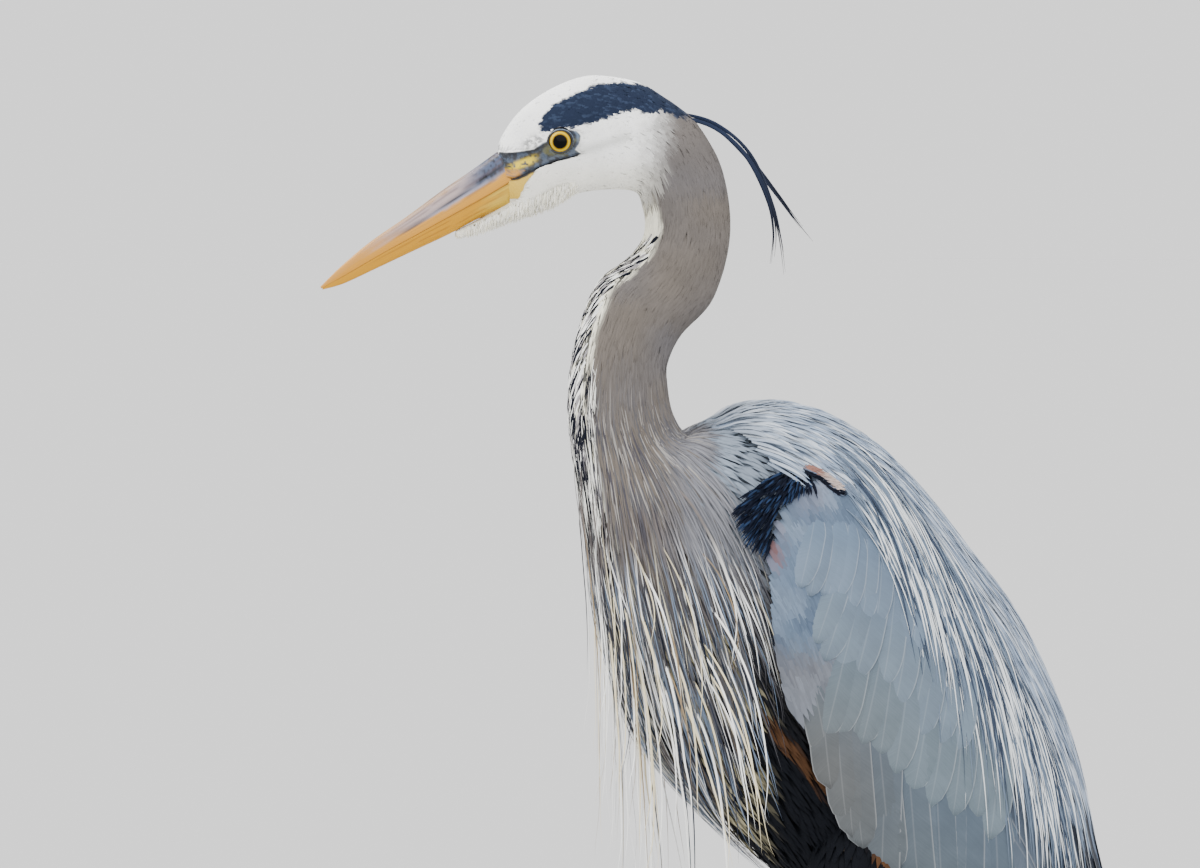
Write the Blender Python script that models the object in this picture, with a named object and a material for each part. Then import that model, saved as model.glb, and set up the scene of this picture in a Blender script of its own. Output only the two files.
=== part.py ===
"""A great blue heron, life size and standing, in separate solids.

Metres, +Z up. It faces -Y, so its left side is at +X, and it stands on z = 0.
Head, neck and trunk are lofted through cross-sections, each given by its point on
the back, its point on the throat or belly, and its half width. The wings and the
mantle are layers on the trunk. Pieces meet with a small gap and never overlap.
"""

import math

import bmesh
import bpy
from mathutils import Matrix, Vector

GAP = 0.0004  # clearance between pieces that touch
MIRRORS = (("left", 1.0), ("right", -1.0))

# Cross-sections: back y, back z, belly y, belly z, half width, fullness.
# Fullness above 0 makes a section widest towards the back, below 0 towards the belly.
HEAD_SECTIONS = [
    (-0.161, 0.883, -0.154, 0.845, 0.0115, -0.15),
    (-0.158, 0.893, -0.141, 0.844, 0.0135, -0.15),
    (-0.146, 0.909, -0.125, 0.853, 0.0160, -0.18),
    (-0.127, 0.922, -0.108, 0.857, 0.0185, -0.20),
    (-0.106, 0.930, -0.093, 0.859, 0.0210, -0.20),
    (-0.088, 0.930, -0.080, 0.859, 0.0225, -0.18),
    (-0.069, 0.926, -0.073, 0.858, 0.0230, -0.14),
    (-0.055, 0.918, -0.069, 0.856, 0.0230, -0.08),
    (-0.043, 0.910, -0.068, 0.853, 0.0228, -0.04),
]
NECK_SECTIONS = [
    (-0.032, 0.900, -0.067, 0.849, 0.0225, 0.0),
    (-0.016, 0.871, -0.065, 0.839, 0.0215, 0.0),
    (-0.011, 0.830, -0.067, 0.827, 0.0210, 0.0),
    (-0.022, 0.790, -0.077, 0.815, 0.0210, 0.0),
    (-0.043, 0.767, -0.096, 0.800, 0.0215, 0.0),
    (-0.052, 0.749, -0.107, 0.774, 0.0220, 0.0),
    (-0.052, 0.736, -0.113, 0.749, 0.0225, 0.0),
    (-0.049, 0.719, -0.115, 0.721, 0.0240, 0.0),
    (-0.042, 0.706, -0.1125, 0.695, 0.0270, 0.0),
]
TRUNK_SECTIONS = [
    (-0.038, 0.705, -0.1075, 0.669, 0.0330, 0.0),
    (-0.033, 0.709, -0.1015, 0.635, 0.0420, 0.0),
    (-0.022, 0.714, -0.0955, 0.597, 0.0500, 0.0),
    (-0.001, 0.717, -0.0850, 0.556, 0.0580, 0.05),
    (0.025, 0.714, -0.069, 0.515, 0.0630, 0.08),
    (0.053, 0.704, -0.047, 0.488, 0.0670, 0.08),
    (0.082, 0.682, -0.026, 0.466, 0.0690, 0.05),
    (0.110, 0.651, 0.001, 0.442, 0.0690, 0.0),
    (0.136, 0.615, 0.029, 0.419, 0.0670, 0.0),
    (0.158, 0.580, 0.058, 0.398, 0.0620, 0.0),
    (0.176, 0.543, 0.087, 0.380, 0.0550, 0.0),
    (0.188, 0.493, 0.123, 0.366, 0.0450, 0.0),
    (0.194, 0.443, 0.152, 0.360, 0.0330, 0.0),
    (0.199, 0.408, 0.172, 0.362, 0.0220, 0.0),
]
BODY_SECTIONS = HEAD_SECTIONS + NECK_SECTIONS + TRUNK_SECTIONS
# Node name, first and last place in BODY_SECTIONS, and the step between its rings.
BODY_NODES = [
    ("head", 0, 9, 0.5),
    ("neck_upper", 9, 12.5, 0.5),
    ("neck_middle", 12.5, 16, 0.5),
    ("neck_lower", 16, 19, 0.5),
    ("trunk", 19, 31, 1.0),
]
BODY_SIDES = 20

# The outline with wings folded: the same rows, then how deep its layer reaches inwards,
# and the angles from the back where mantle ends and where the wing ends, in degrees.
PLUMAGE_SECTIONS = [
    (-0.025, 0.7165, -0.099, 0.597, 0.0530, 0.012, 25, 26),
    (-0.003, 0.7235, -0.087, 0.556, 0.0640, 0.014, 34, 36),
    (0.025, 0.7245, -0.069, 0.515, 0.0740, 0.016, 46, 57),
    (0.056, 0.7150, -0.047, 0.488, 0.0810, 0.018, 42, 78),
    (0.090, 0.6930, -0.026, 0.466, 0.0840, 0.020, 45, 99),
    (0.119, 0.6630, 0.001, 0.442, 0.0840, 0.020, 50, 116),
    (0.147, 0.6280, 0.029, 0.419, 0.0820, 0.020, 56, 123),
    (0.171, 0.5980, 0.058, 0.398, 0.0775, 0.020, 60, 125),
    (0.191, 0.5630, 0.087, 0.380, 0.0710, 0.020, 56, 126),
    (0.207, 0.5260, 0.119, 0.371, 0.0630, 0.020, 46, 127),
    (0.219, 0.4910, 0.145, 0.364, 0.0540, 0.018, 32, 128),
    (0.228, 0.4490, 0.168, 0.355, 0.0450, 0.014, 16, 125),
    (0.238, 0.4050, 0.197, 0.349, 0.0370, 0.010, 8, 130),
    (0.250, 0.3560, 0.225, 0.320, 0.0290, 0.007, 8, 140),
    (0.262, 0.3080, 0.247, 0.290, 0.0210, 0.005, 9, 150),
    (0.275, 0.2640, 0.270, 0.258, 0.0120, 0.0035, 12, 150),
]
MANTLE_PLACES = (0, 10.5)
WING_PLACES = (2, 11.5)
WING_TIP_PLACES = (11.5, 15)
LAYER_STEPS = 7
EDGE_THINNING = 0.6  # share of a wing's thickness that is lost at its lower edge

# Chest plumes, hanging from the lower neck: rear y and z, front y and z, half width.
CHEST_PLUME_SECTIONS = [
    (-0.080, 0.706, -0.1155, 0.700, 0.0260, 0.0),
    (-0.050, 0.680, -0.1135, 0.676, 0.0350, 0.0),
    (-0.012, 0.640, -0.1085, 0.640, 0.0500, 0.0),
    (0.012, 0.600, -0.1045, 0.600, 0.0600, 0.0),
    (0.004, 0.556, -0.1035, 0.562, 0.0600, 0.0),
    (-0.012, 0.508, -0.1035, 0.524, 0.0540, 0.0),
    (-0.022, 0.468, -0.1015, 0.492, 0.0440, 0.0),
    (-0.034, 0.442, -0.0970, 0.468, 0.0300, 0.0),
    (-0.050, 0.430, -0.0900, 0.450, 0.0150, 0.0),
]
TAIL_SECTIONS = [
    (0.196, 0.402, 0.165, 0.378, 0.0180, 0.0),
    (0.207, 0.372, 0.188, 0.356, 0.0240, 0.0),
    (0.224, 0.332, 0.212, 0.321, 0.0300, 0.0),
    (0.243, 0.287, 0.236, 0.281, 0.0330, 0.0),
    (0.258, 0.246, 0.2545, 0.2435, 0.0270, 0.0),
]

# The bill: culmen y and z, lower edge y and z, half width, of each half.
UPPER_BILL_SECTIONS = [
    (-0.1616, 0.8826, -0.1545, 0.8640, 0.0108, 0.0),
    (-0.1790, 0.8705, -0.1700, 0.8550, 0.0094, 0.0),
    (-0.1970, 0.8585, -0.1890, 0.8445, 0.0078, 0.0),
    (-0.2200, 0.8420, -0.2130, 0.8315, 0.0060, 0.0),
    (-0.2430, 0.8265, -0.2380, 0.8180, 0.0042, 0.0),
    (-0.2620, 0.8110, -0.2590, 0.8060, 0.0026, 0.0),
    (-0.2750, 0.7985, -0.2743, 0.7975, 0.0006, 0.0),
]
LOWER_BILL_SECTIONS = [
    (-0.1548, 0.8632, -0.1580, 0.8470, 0.0104, 0.0),
    (-0.1704, 0.8543, -0.1745, 0.8405, 0.0090, 0.0),
    (-0.1893, 0.8438, -0.1930, 0.8310, 0.0074, 0.0),
    (-0.2133, 0.8308, -0.2160, 0.8205, 0.0056, 0.0),
    (-0.2382, 0.8174, -0.2400, 0.8095, 0.0038, 0.0),
    (-0.2591, 0.8054, -0.2600, 0.8005, 0.0022, 0.0),
    (-0.2720, 0.7976, -0.2722, 0.7968, 0.0005, 0.0),
]
# Outline of a bill half: share of the way down, share of the half width.
UPPER_BILL_OUTLINE = [(0.0, 0.16), (0.12, 0.45), (0.38, 0.72), (0.7, 0.92), (0.96, 1.0), (1.0, 0.8)]
LOWER_BILL_OUTLINE = [(0.0, 0.8), (0.04, 1.0), (0.35, 0.88), (0.68, 0.66), (0.92, 0.38), (1.0, 0.12)]
CHIN_SECTIONS = [
    (-0.125, 0.868, -0.118, 0.8560, 0.0130, 0.0),
    (-0.142, 0.860, -0.1345, 0.8500, 0.0110, 0.0),
    (-0.157, 0.852, -0.1510, 0.8448, 0.0090, 0.0),
    (-0.172, 0.842, -0.1680, 0.8390, 0.0060, 0.0),
    (-0.1885, 0.8335, -0.1875, 0.8316, 0.0015, 0.0),
]

EYE_CENTRE = Vector((0.0110, -0.1232, 0.8895))
EYE_RADIUS = 0.0102

# Nape plumes: lateral offset and the points they pass, y and z.
NAPE_PLUMES = {
    "nape_plume_left": (0.006, [(-0.048, 0.905), (-0.023, 0.898), (-0.002, 0.880), (0.012, 0.853),
                                (0.016, 0.832), (0.014, 0.812)]),
    "nape_plume_middle": (0.0, [(-0.048, 0.908), (-0.021, 0.901), (0.002, 0.882), (0.016, 0.852),
                                (0.022, 0.828), (0.025, 0.805)]),
    "nape_plume_right": (-0.006, [(-0.048, 0.905), (-0.020, 0.899), (0.004, 0.878), (0.022, 0.856),
                                  (0.035, 0.839), (0.046, 0.826)]),
}
NAPE_PLUME_WIDTH = 0.0034
NAPE_PLUME_THICKNESS = 0.0012

STRIDE = 0.012  # each foot's distance ahead of or behind the middle
# Leg joints: distance from the middle, share of the stride, y and z.
LEG_JOINTS = {
    "thigh": (0.036, 0.0, 0.082, 0.478),
    "knee": (0.036, 0.1, 0.070, 0.425),
    "shank": (0.038, 0.45, 0.0795, 0.310),
    "ankle": (0.040, 0.8, 0.090, 0.207),
    "sole": (0.042, 1.0, 0.060, 0.011),
}
ANKLE_RISE = 0.004  # how far above the joint the tarsus starts
# Rings between two joints, as shares of the way down, then half width and half
# thickness of every ring of that length, its ends included.
THIGH_RINGS = (0.35, 0.7)
THIGH_SIZES = [(0.022, 0.034), (0.024, 0.037), (0.019, 0.029), (0.0135, 0.018), (0.0085, 0.0105)]
SHANK_RINGS = (0.45, 0.8)
SHANK_SIZES = [(0.0058, 0.0064), (0.0050, 0.0056), (0.0056, 0.0068), (0.0078, 0.0092)]
TARSUS_RINGS = (0.03, 0.09, 0.2, 0.55, 0.86)
TARSUS_SIZES = [(0.0078, 0.0092), (0.0079, 0.0097), (0.0073, 0.0091), (0.0058, 0.0074), (0.0045, 0.0058),
                (0.0042, 0.0054), (0.0050, 0.0056), (0.0072, 0.0066)]

SOLE_RADIUS = 0.0115
SOLE_SQUASH = 0.8
SOLE_CENTRE_SHARE = 0.62  # height of the ball's centre, in radii
# Toe name: heading outwards from straight ahead in degrees, length, claw length.
TOES = {
    "inner": (-24, 0.072, 0.016),
    "middle": (8, 0.095, 0.017),
    "outer": (40, 0.078, 0.015),
    "hind": (172, 0.050, 0.023),
}
TOE_RADIUS = 0.0042
TOE_CENTRE_HEIGHT = 0.0034
TOE_RISE = 0.0022  # how much higher a toe starts at the sole
TOE_TAPER = 0.3
FRONT_TOE_RINGS = (0.0, 0.32, 0.38, 0.44, 0.68, 0.74, 1.0)
HIND_TOE_RINGS = (0.0, 0.5, 0.6, 1.0)
KNUCKLES = (2, 4)  # rings that swell at a joint
KNUCKLE_SWELL = 1.12
CLAW_SIZE = (0.0021, 0.0025)  # half width and half thickness at the base
CLAW_TAPER = 0.82
CLAW_STUB = 0.0012  # straight length at the base
CLAW_ARCH = 0.0020
CLAW_DROP = 0.0018
CLAW_STEPS = 4
CLAW_ARCH_SHARE = 0.9  # part of half a turn that the arch runs through

# Points round each closed outline.
FEATHER_SIDES = 16
CHIN_SIDES = 10
LEG_SIDES = 12
TOE_SIDES = 8
CLAW_SIDES = 6
NAPE_SIDES = 6
BALL_SEGMENTS = (12, 8)

# The plumes leave the nape close together and spread over their first steps.
NAPE_STEP = 0.5
NAPE_START_SPREAD = 0.4
NAPE_SPREAD_STEPS = 6
NAPE_TAPER = 0.6

FLOOR_CENTRE_Y = 0.06
FLOOR_WIDTH = 0.6
FLOOR_DEPTH = 0.02

COLOURS = {
    "head": ((0.86, 0.86, 0.84), 0.8),
    "neck": ((0.45, 0.40, 0.38), 0.8),
    "trunk": ((0.10, 0.11, 0.14), 0.8),
    "mantle": ((0.36, 0.40, 0.45), 0.75),
    "wing": ((0.40, 0.44, 0.50), 0.7),
    "wing_tip": ((0.06, 0.07, 0.09), 0.6),
    "plumes": ((0.70, 0.68, 0.66), 0.8),
    "tail": ((0.33, 0.37, 0.43), 0.7),
    "bill_upper": ((0.72, 0.42, 0.16), 0.35),
    "bill_lower": ((0.85, 0.52, 0.12), 0.35),
    "eye": ((0.90, 0.72, 0.10), 0.05),
    "nape": ((0.03, 0.04, 0.07), 0.6),
    "thigh": ((0.42, 0.22, 0.12), 0.85),
    "leg": ((0.16, 0.14, 0.12), 0.55),
    "claw": ((0.04, 0.035, 0.03), 0.35),
}


def material(name):
    found = bpy.data.materials.get(name)
    if found:
        return found
    colour, roughness = COLOURS[name]
    made = bpy.data.materials.new(name)
    made.use_nodes = True
    shader = made.node_tree.nodes["Principled BSDF"]
    shader.inputs["Base Color"].default_value = (*colour, 1.0)
    shader.inputs["Roughness"].default_value = roughness
    shader.inputs["Metallic"].default_value = 0.0
    made.diffuse_color = (*colour, 1.0)
    return made


def add_object(name, bm, colour):
    bmesh.ops.recalc_face_normals(bm, faces=bm.faces)
    mesh = bpy.data.meshes.new(name)
    bm.to_mesh(mesh)
    bm.free()
    mesh.materials.append(material(colour))
    mesh.shade_smooth()
    obj = bpy.data.objects.new(name, mesh)
    bpy.context.scene.collection.objects.link(obj)
    return obj


def as_cutter(obj):
    obj.hide_render = True
    obj.display_type = "WIRE"
    return obj


def combine(obj, other, operation):
    modifier = obj.modifiers.new(operation.lower() + "_" + other.name, "BOOLEAN")
    modifier.object = other
    modifier.operation = operation
    modifier.solver = "EXACT"


def section_at(rows, place):
    """The row at a fractional place in the list, on a Catmull-Rom curve through the rows."""
    start = min(int(place), len(rows) - 2)
    t = place - start
    near = [rows[max(0, min(len(rows) - 1, start + k))] for k in (-1, 0, 1, 2)]
    return [
        0.5 * (2 * q + (r - p) * t + (2 * p - 5 * q + 4 * r - s) * t**2 + (3 * q - p - 3 * r + s) * t**3)
        for p, q, r, s in zip(*near)
    ]


def sections_between(rows, first, last, step):
    count = max(1, math.ceil((last - first) / step))
    return [section_at(rows, first + (last - first) * k / count) for k in range(count + 1)]


def grown(section, by):
    """The section with its outline moved outwards by a distance."""
    back, belly = Vector(section[0:2]), Vector(section[2:4])
    out = (back - belly).normalized() * by
    back += out
    belly -= out
    return [back.x, back.y, belly.x, belly.y, section[4] + by, *section[5:]]


def point_on(section, angle):
    """A point on the section's outline: angle 0 is the back, a quarter turn is the left side."""
    back, belly = Vector(section[0:2]), Vector(section[2:4])
    middle, half = (back + belly) / 2, (back - belly) / 2
    place = middle + half * math.cos(angle)
    x = section[4] * math.sin(angle) * (1 + section[5] * math.cos(angle))
    return Vector((x, place.x, place.y))


def oval(section, sides):
    return [point_on(section, 2 * math.pi * k / sides) for k in range(sides)]


def outlined(section, outline):
    """A ring that follows a bill half's outline down the left side and up the right."""
    back, belly = Vector(section[0:2]), Vector(section[2:4])
    ring = []
    for side, points in ((1, outline), (-1, reversed(outline))):
        for down, across in points:
            place = back.lerp(belly, down)
            ring.append(Vector((side * across * section[4], place.x, place.y)))
    return ring


def pull_in(ring, towards, by):
    """Moves each point of a ring a short way towards the next ring."""
    return [p + (q - p).normalized() * min(by, (q - p).length / 2) for p, q in zip(ring, towards)]


def loft(name, rings, colour):
    bm = bmesh.new()
    loops = [[bm.verts.new(p) for p in ring] for ring in rings]
    sides = len(rings[0])
    for near, far in zip(loops, loops[1:]):
        for k in range(sides):
            n = (k + 1) % sides
            a, b, c, d = near[k], near[n], far[n], far[k]
            if k < sides / 2:
                halves = ((a, b, c), (a, c, d))
            else:
                halves = ((a, b, d), (b, c, d))
            for corners in halves:
                bm.faces.new(corners)
    bm.faces.new(loops[0])
    bm.faces.new(reversed(loops[-1]))
    return add_object(name, bm, colour)


def oval_loft(name, rows, step, sides, colour, grow=0.0):
    rows = sections_between(rows, 0, len(rows) - 1, step)
    return loft(name, [oval(grown(row, grow), sides) for row in rows], colour)


def make_body():
    """Head, neck lengths and trunk, each pulled back a little from the next."""
    made = {}
    colours = {"head": "head", "trunk": "trunk"}
    for name, first, last, step in BODY_NODES:
        rings = [oval(row, BODY_SIDES) for row in sections_between(BODY_SECTIONS, first, last, step)]
        if first > 0:
            rings[0] = pull_in(rings[0], rings[1], GAP / 2)
        if last < len(BODY_SECTIONS) - 1:
            rings[-1] = pull_in(rings[-1], rings[-2], GAP / 2)
        made[name] = loft(name, rings, colours.get(name, "neck"))
    return made


def make_body_room():
    rows = [section_at(BODY_SECTIONS, BODY_NODES[0][1])]
    for _, first, last, step in BODY_NODES:
        rows += sections_between(BODY_SECTIONS, first, last, step)[1:]
    return as_cutter(loft("body_room", [oval(grown(row, GAP), BODY_SIDES) for row in rows], "trunk"))


def layer_ring(section, start, end, thinning):
    """A closed strip round part of a section: its outer side, then its inner side back again."""
    inner = grown(section[:6], -section[6])
    edge = grown(section[:6], -section[6] * thinning)
    angles = [start + (end - start) * k / LAYER_STEPS for k in range(LAYER_STEPS + 1)]
    outer_side = [point_on(section, a) for a in angles[:-1]] + [point_on(edge, end)]
    return outer_side + [point_on(inner, a) for a in reversed(angles)]


def plumage_rows(places):
    """Rows of the folded outline, with the fullness value that they leave out put back in."""
    rows = sections_between(PLUMAGE_SECTIONS, *places, 1.0)
    return [[*row[:5], 0.0, *row[5:]] for row in rows]


def make_mantle():
    rings = []
    for row in plumage_rows(MANTLE_PLACES):
        edge = math.radians(row[7]) - GAP / row[4]
        rings.append(layer_ring(row, -edge, edge, 0.0))
    return loft("mantle", rings, "mantle")


def make_wing_length(name, side, places, colour):
    rings = []
    for row in plumage_rows(places):
        top = math.radians(row[7]) + GAP / row[4]
        ring = layer_ring(row, top, math.radians(row[8]), EDGE_THINNING)
        rings.append([Vector((side * p.x, p.y, p.z)) for p in ring])
    if places[0] > WING_PLACES[0]:
        rings[0] = pull_in(rings[0], rings[1], GAP)
    return loft(name, rings, colour)


def make_wings(rooms):
    made = {}
    for label, side in MIRRORS:
        made[f"wing_{label}"] = make_wing_length(f"wing_{label}", side, WING_PLACES, "wing")
        tip = f"wing_tip_{label}"
        made[tip] = make_wing_length(tip, side, WING_TIP_PLACES, "wing_tip")
    for wing in made.values():
        for room in rooms:
            combine(wing, room, "DIFFERENCE")
    return made


def make_head_details(head):
    """Joins the chin feathers to the head and cuts the seats of bill and eyes."""
    chin = as_cutter(oval_loft("chin", CHIN_SECTIONS, 1.0, CHIN_SIDES, "head"))
    combine(head, chin, "UNION")
    for label, rows, outline in (("upper", UPPER_BILL_SECTIONS, UPPER_BILL_OUTLINE),
                                 ("lower", LOWER_BILL_SECTIONS, LOWER_BILL_OUTLINE)):
        smooth_rows = sections_between(rows, 0, len(rows) - 1, 1.0)
        loft(f"bill_{label}", [outlined(row, outline) for row in smooth_rows], f"bill_{label}")
        room_rows = [grown(row, GAP) for row in smooth_rows]
        room = loft(f"bill_{label}_room", [outlined(row, outline) for row in room_rows], "head")
        combine(head, as_cutter(room), "DIFFERENCE")
    for label, side in MIRRORS:
        make_ball(f"eye_{label}", mirrored(EYE_CENTRE, side), EYE_RADIUS, "eye")
        room = make_ball(f"eye_{label}_room", mirrored(EYE_CENTRE, side), EYE_RADIUS + GAP, "eye")
        combine(head, as_cutter(room), "DIFFERENCE")


def mirrored(place, side):
    return Vector((side * place[0], place[1], place[2]))


def make_ball(name, centre, radius, colour, squash=1.0):
    bm = bmesh.new()
    shape = Matrix.Translation(centre) @ Matrix.Diagonal((1, 1, squash, 1))
    around, down = BALL_SEGMENTS
    bmesh.ops.create_uvsphere(bm, u_segments=around, v_segments=down, radius=radius, matrix=shape)
    return add_object(name, bm, colour)


def tube(name, path, sizes, sides, colour):
    """A tube of elliptical rings along a path, each with its half width and half thickness."""
    rings = []
    for i, centre in enumerate(path):
        before, after = path[max(0, i - 1)], path[min(len(path) - 1, i + 1)]
        along = (after - before).normalized()
        across = Vector((1, 0, 0)) - along * along.x
        if across.length < 0.1:
            across = Vector((0, 1, 0)) - along * along.y
        across.normalize()
        over = along.cross(across)
        wide, thick = sizes[i]
        rings.append([
            centre + across * wide * math.cos(turn) + over * thick * math.sin(turn)
            for turn in (2 * math.pi * k / sides for k in range(sides))
        ])
    return loft(name, rings, colour)


def make_nape_plumes(body_room):
    for name, (x, points) in NAPE_PLUMES.items():
        rows = sections_between(points, 0, len(points) - 1, NAPE_STEP)
        path, sizes = [], []
        for i, (y, z) in enumerate(rows):
            spread = min(1.0, NAPE_START_SPREAD + i / NAPE_SPREAD_STEPS)
            path.append(Vector((x * spread, y, z)))
            taper = 1 - NAPE_TAPER * (i / (len(rows) - 1)) ** 3
            sizes.append((NAPE_PLUME_WIDTH / 2 * taper, NAPE_PLUME_THICKNESS / 2 * taper))
        combine(tube(name, path, sizes, NAPE_SIDES, "nape"), body_room, "DIFFERENCE")


def leg_joint(name, side):
    """A joint of a leg, moved ahead or back by its share of the stride."""
    x, share, y, z = LEG_JOINTS[name]
    return Vector((side * x, y - side * STRIDE * share, z))


def make_leg(label, side, body_room, thigh_rooms):
    hip, knee, shin, ankle, sole = (leg_joint(name, side) for name in LEG_JOINTS)
    thigh_path = [hip, knee, *(knee.lerp(shin, share) for share in THIGH_RINGS), shin]
    thigh = tube(f"thigh_{label}", thigh_path, THIGH_SIZES, FEATHER_SIDES, "thigh")
    combine(thigh, body_room, "DIFFERENCE")
    room_sizes = [(w + GAP, t + GAP) for w, t in THIGH_SIZES]
    room = tube(f"thigh_{label}_room", thigh_path, room_sizes, FEATHER_SIDES, "thigh")
    thigh_rooms.append(as_cutter(room))
    down = (ankle - shin).normalized()
    shank_path = [shin + down * GAP, *(shin.lerp(ankle, share) for share in SHANK_RINGS),
                  ankle - down * ANKLE_RISE]
    tube(f"shank_{label}", shank_path, SHANK_SIZES, LEG_SIDES, "leg")
    tarsus_path = [ankle - down * (ANKLE_RISE - GAP), ankle,
                   *(ankle.lerp(sole, share) for share in TARSUS_RINGS), sole]
    tube(f"tarsus_{label}", tarsus_path, TARSUS_SIZES, LEG_SIDES, "leg")
    seat_path = [*tarsus_path[-2:], sole + (sole - ankle).normalized() * GAP]
    seat_sizes = [(w + GAP, t + GAP) for w, t in (*TARSUS_SIZES[-2:], TARSUS_SIZES[-1])]
    seat = as_cutter(tube(f"tarsus_{label}_seat", seat_path, seat_sizes, LEG_SIDES, "leg"))
    make_foot(label, side, sole, seat)


def toe_heading(side, turn):
    """Level direction of a toe, turned outwards from straight ahead."""
    angle = math.radians(turn)
    return Vector((side * math.sin(angle), -math.cos(angle), 0))


def make_foot(label, side, sole, seat):
    """Four toes joined at the sole, cut flat where they stand, and a claw at each tip."""
    centre = Vector((sole.x, sole.y, SOLE_RADIUS * SOLE_CENTRE_SHARE))
    foot = make_ball(f"foot_{label}", centre, SOLE_RADIUS, "leg", SOLE_SQUASH)
    for toe, (turn, length, claw_length) in TOES.items():
        heading = toe_heading(side, turn)
        path, sizes = [], []
        for i, share in enumerate(HIND_TOE_RINGS if toe == "hind" else FRONT_TOE_RINGS):
            height = TOE_CENTRE_HEIGHT + TOE_RISE * (1 - share) ** 3
            path.append(Vector((centre.x, centre.y, height)) + heading * length * share)
            swell = KNUCKLE_SWELL if i in KNUCKLES else 1.0
            radius = TOE_RADIUS * (1 - TOE_TAPER * share) * swell
            sizes.append((radius, radius))
        part = as_cutter(tube(f"toe_{toe}_{label}", path, sizes, TOE_SIDES, "leg"))
        combine(foot, part, "UNION")
        make_claw(f"claw_{toe}_{label}", path[-1], heading, claw_length)
    combine(foot, make_floor(f"floor_{label}"), "DIFFERENCE")
    combine(foot, seat, "DIFFERENCE")


def make_claw(name, base, heading, length):
    start = base + heading * GAP
    path, sizes = [start], [CLAW_SIZE]
    for k in range(CLAW_STEPS + 1):
        share = k / CLAW_STEPS
        height = CLAW_ARCH * math.sin(math.pi * share * CLAW_ARCH_SHARE) - CLAW_DROP * share
        path.append(start + heading * (CLAW_STUB + (length - CLAW_STUB) * share) + Vector((0, 0, height)))
        sizes.append(tuple(size * (1 - CLAW_TAPER * share) for size in CLAW_SIZE))
    tube(name, path, sizes, CLAW_SIDES, "claw")


def make_floor(name):
    """A slab below the floor that cuts the soles flat."""
    bm = bmesh.new()
    size = Matrix.Diagonal((FLOOR_WIDTH, FLOOR_WIDTH, FLOOR_DEPTH, 1))
    shape = Matrix.Translation((0, FLOOR_CENTRE_Y, -FLOOR_DEPTH / 2)) @ size
    bmesh.ops.create_cube(bm, size=1.0, matrix=shape)
    return as_cutter(add_object(name, bm, "leg"))


def clear_scene():
    for obj in list(bpy.data.objects):
        bpy.data.objects.remove(obj, do_unlink=True)


def main():
    clear_scene()
    body = make_body()
    make_head_details(body["head"])
    body_room = make_body_room()
    make_nape_plumes(body_room)
    thigh_rooms = []
    for label, side in MIRRORS:
        make_leg(label, side, body_room, thigh_rooms)
    tail = oval_loft("tail", TAIL_SECTIONS, 1.0, FEATHER_SIDES, "tail")
    combine(tail, body_room, "DIFFERENCE")
    tail_room = as_cutter(oval_loft("tail_room", TAIL_SECTIONS, 1.0, FEATHER_SIDES, "tail", GAP))
    chest = oval_loft("chest_plumes", CHEST_PLUME_SECTIONS, 1.0, FEATHER_SIDES, "plumes")
    combine(chest, body_room, "DIFFERENCE")
    chest_room = as_cutter(oval_loft("chest_room", CHEST_PLUME_SECTIONS, 1.0, FEATHER_SIDES, "plumes", GAP))
    make_wings([body_room, tail_room, chest_room, *thigh_rooms])
    mantle = make_mantle()
    for room in (body_room, chest_room):
        combine(mantle, room, "DIFFERENCE")


main()
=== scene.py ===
import math

import bpy
import numpy as np
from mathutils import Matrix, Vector
from mathutils.kdtree import KDTree


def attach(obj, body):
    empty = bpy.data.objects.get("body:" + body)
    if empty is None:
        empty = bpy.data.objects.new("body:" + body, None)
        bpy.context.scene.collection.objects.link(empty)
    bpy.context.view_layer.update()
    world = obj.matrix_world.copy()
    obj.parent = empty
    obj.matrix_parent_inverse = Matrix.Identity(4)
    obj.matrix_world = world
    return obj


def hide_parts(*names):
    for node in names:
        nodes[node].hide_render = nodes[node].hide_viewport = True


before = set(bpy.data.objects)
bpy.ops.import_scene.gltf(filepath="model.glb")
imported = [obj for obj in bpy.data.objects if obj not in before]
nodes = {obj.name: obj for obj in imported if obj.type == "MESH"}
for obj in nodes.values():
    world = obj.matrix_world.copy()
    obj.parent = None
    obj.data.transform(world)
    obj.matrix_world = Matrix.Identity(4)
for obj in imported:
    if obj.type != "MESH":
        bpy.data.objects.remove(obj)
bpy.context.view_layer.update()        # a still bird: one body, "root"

sides = (("left", 1.0), ("right", -1.0))
sideLean = 0.249         # how far markings slip back on the flank, seen a little from the front
upright = np.array([0.0, 0.0, 1.0])
print("frame loaded:", len(nodes), "solids")


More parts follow.
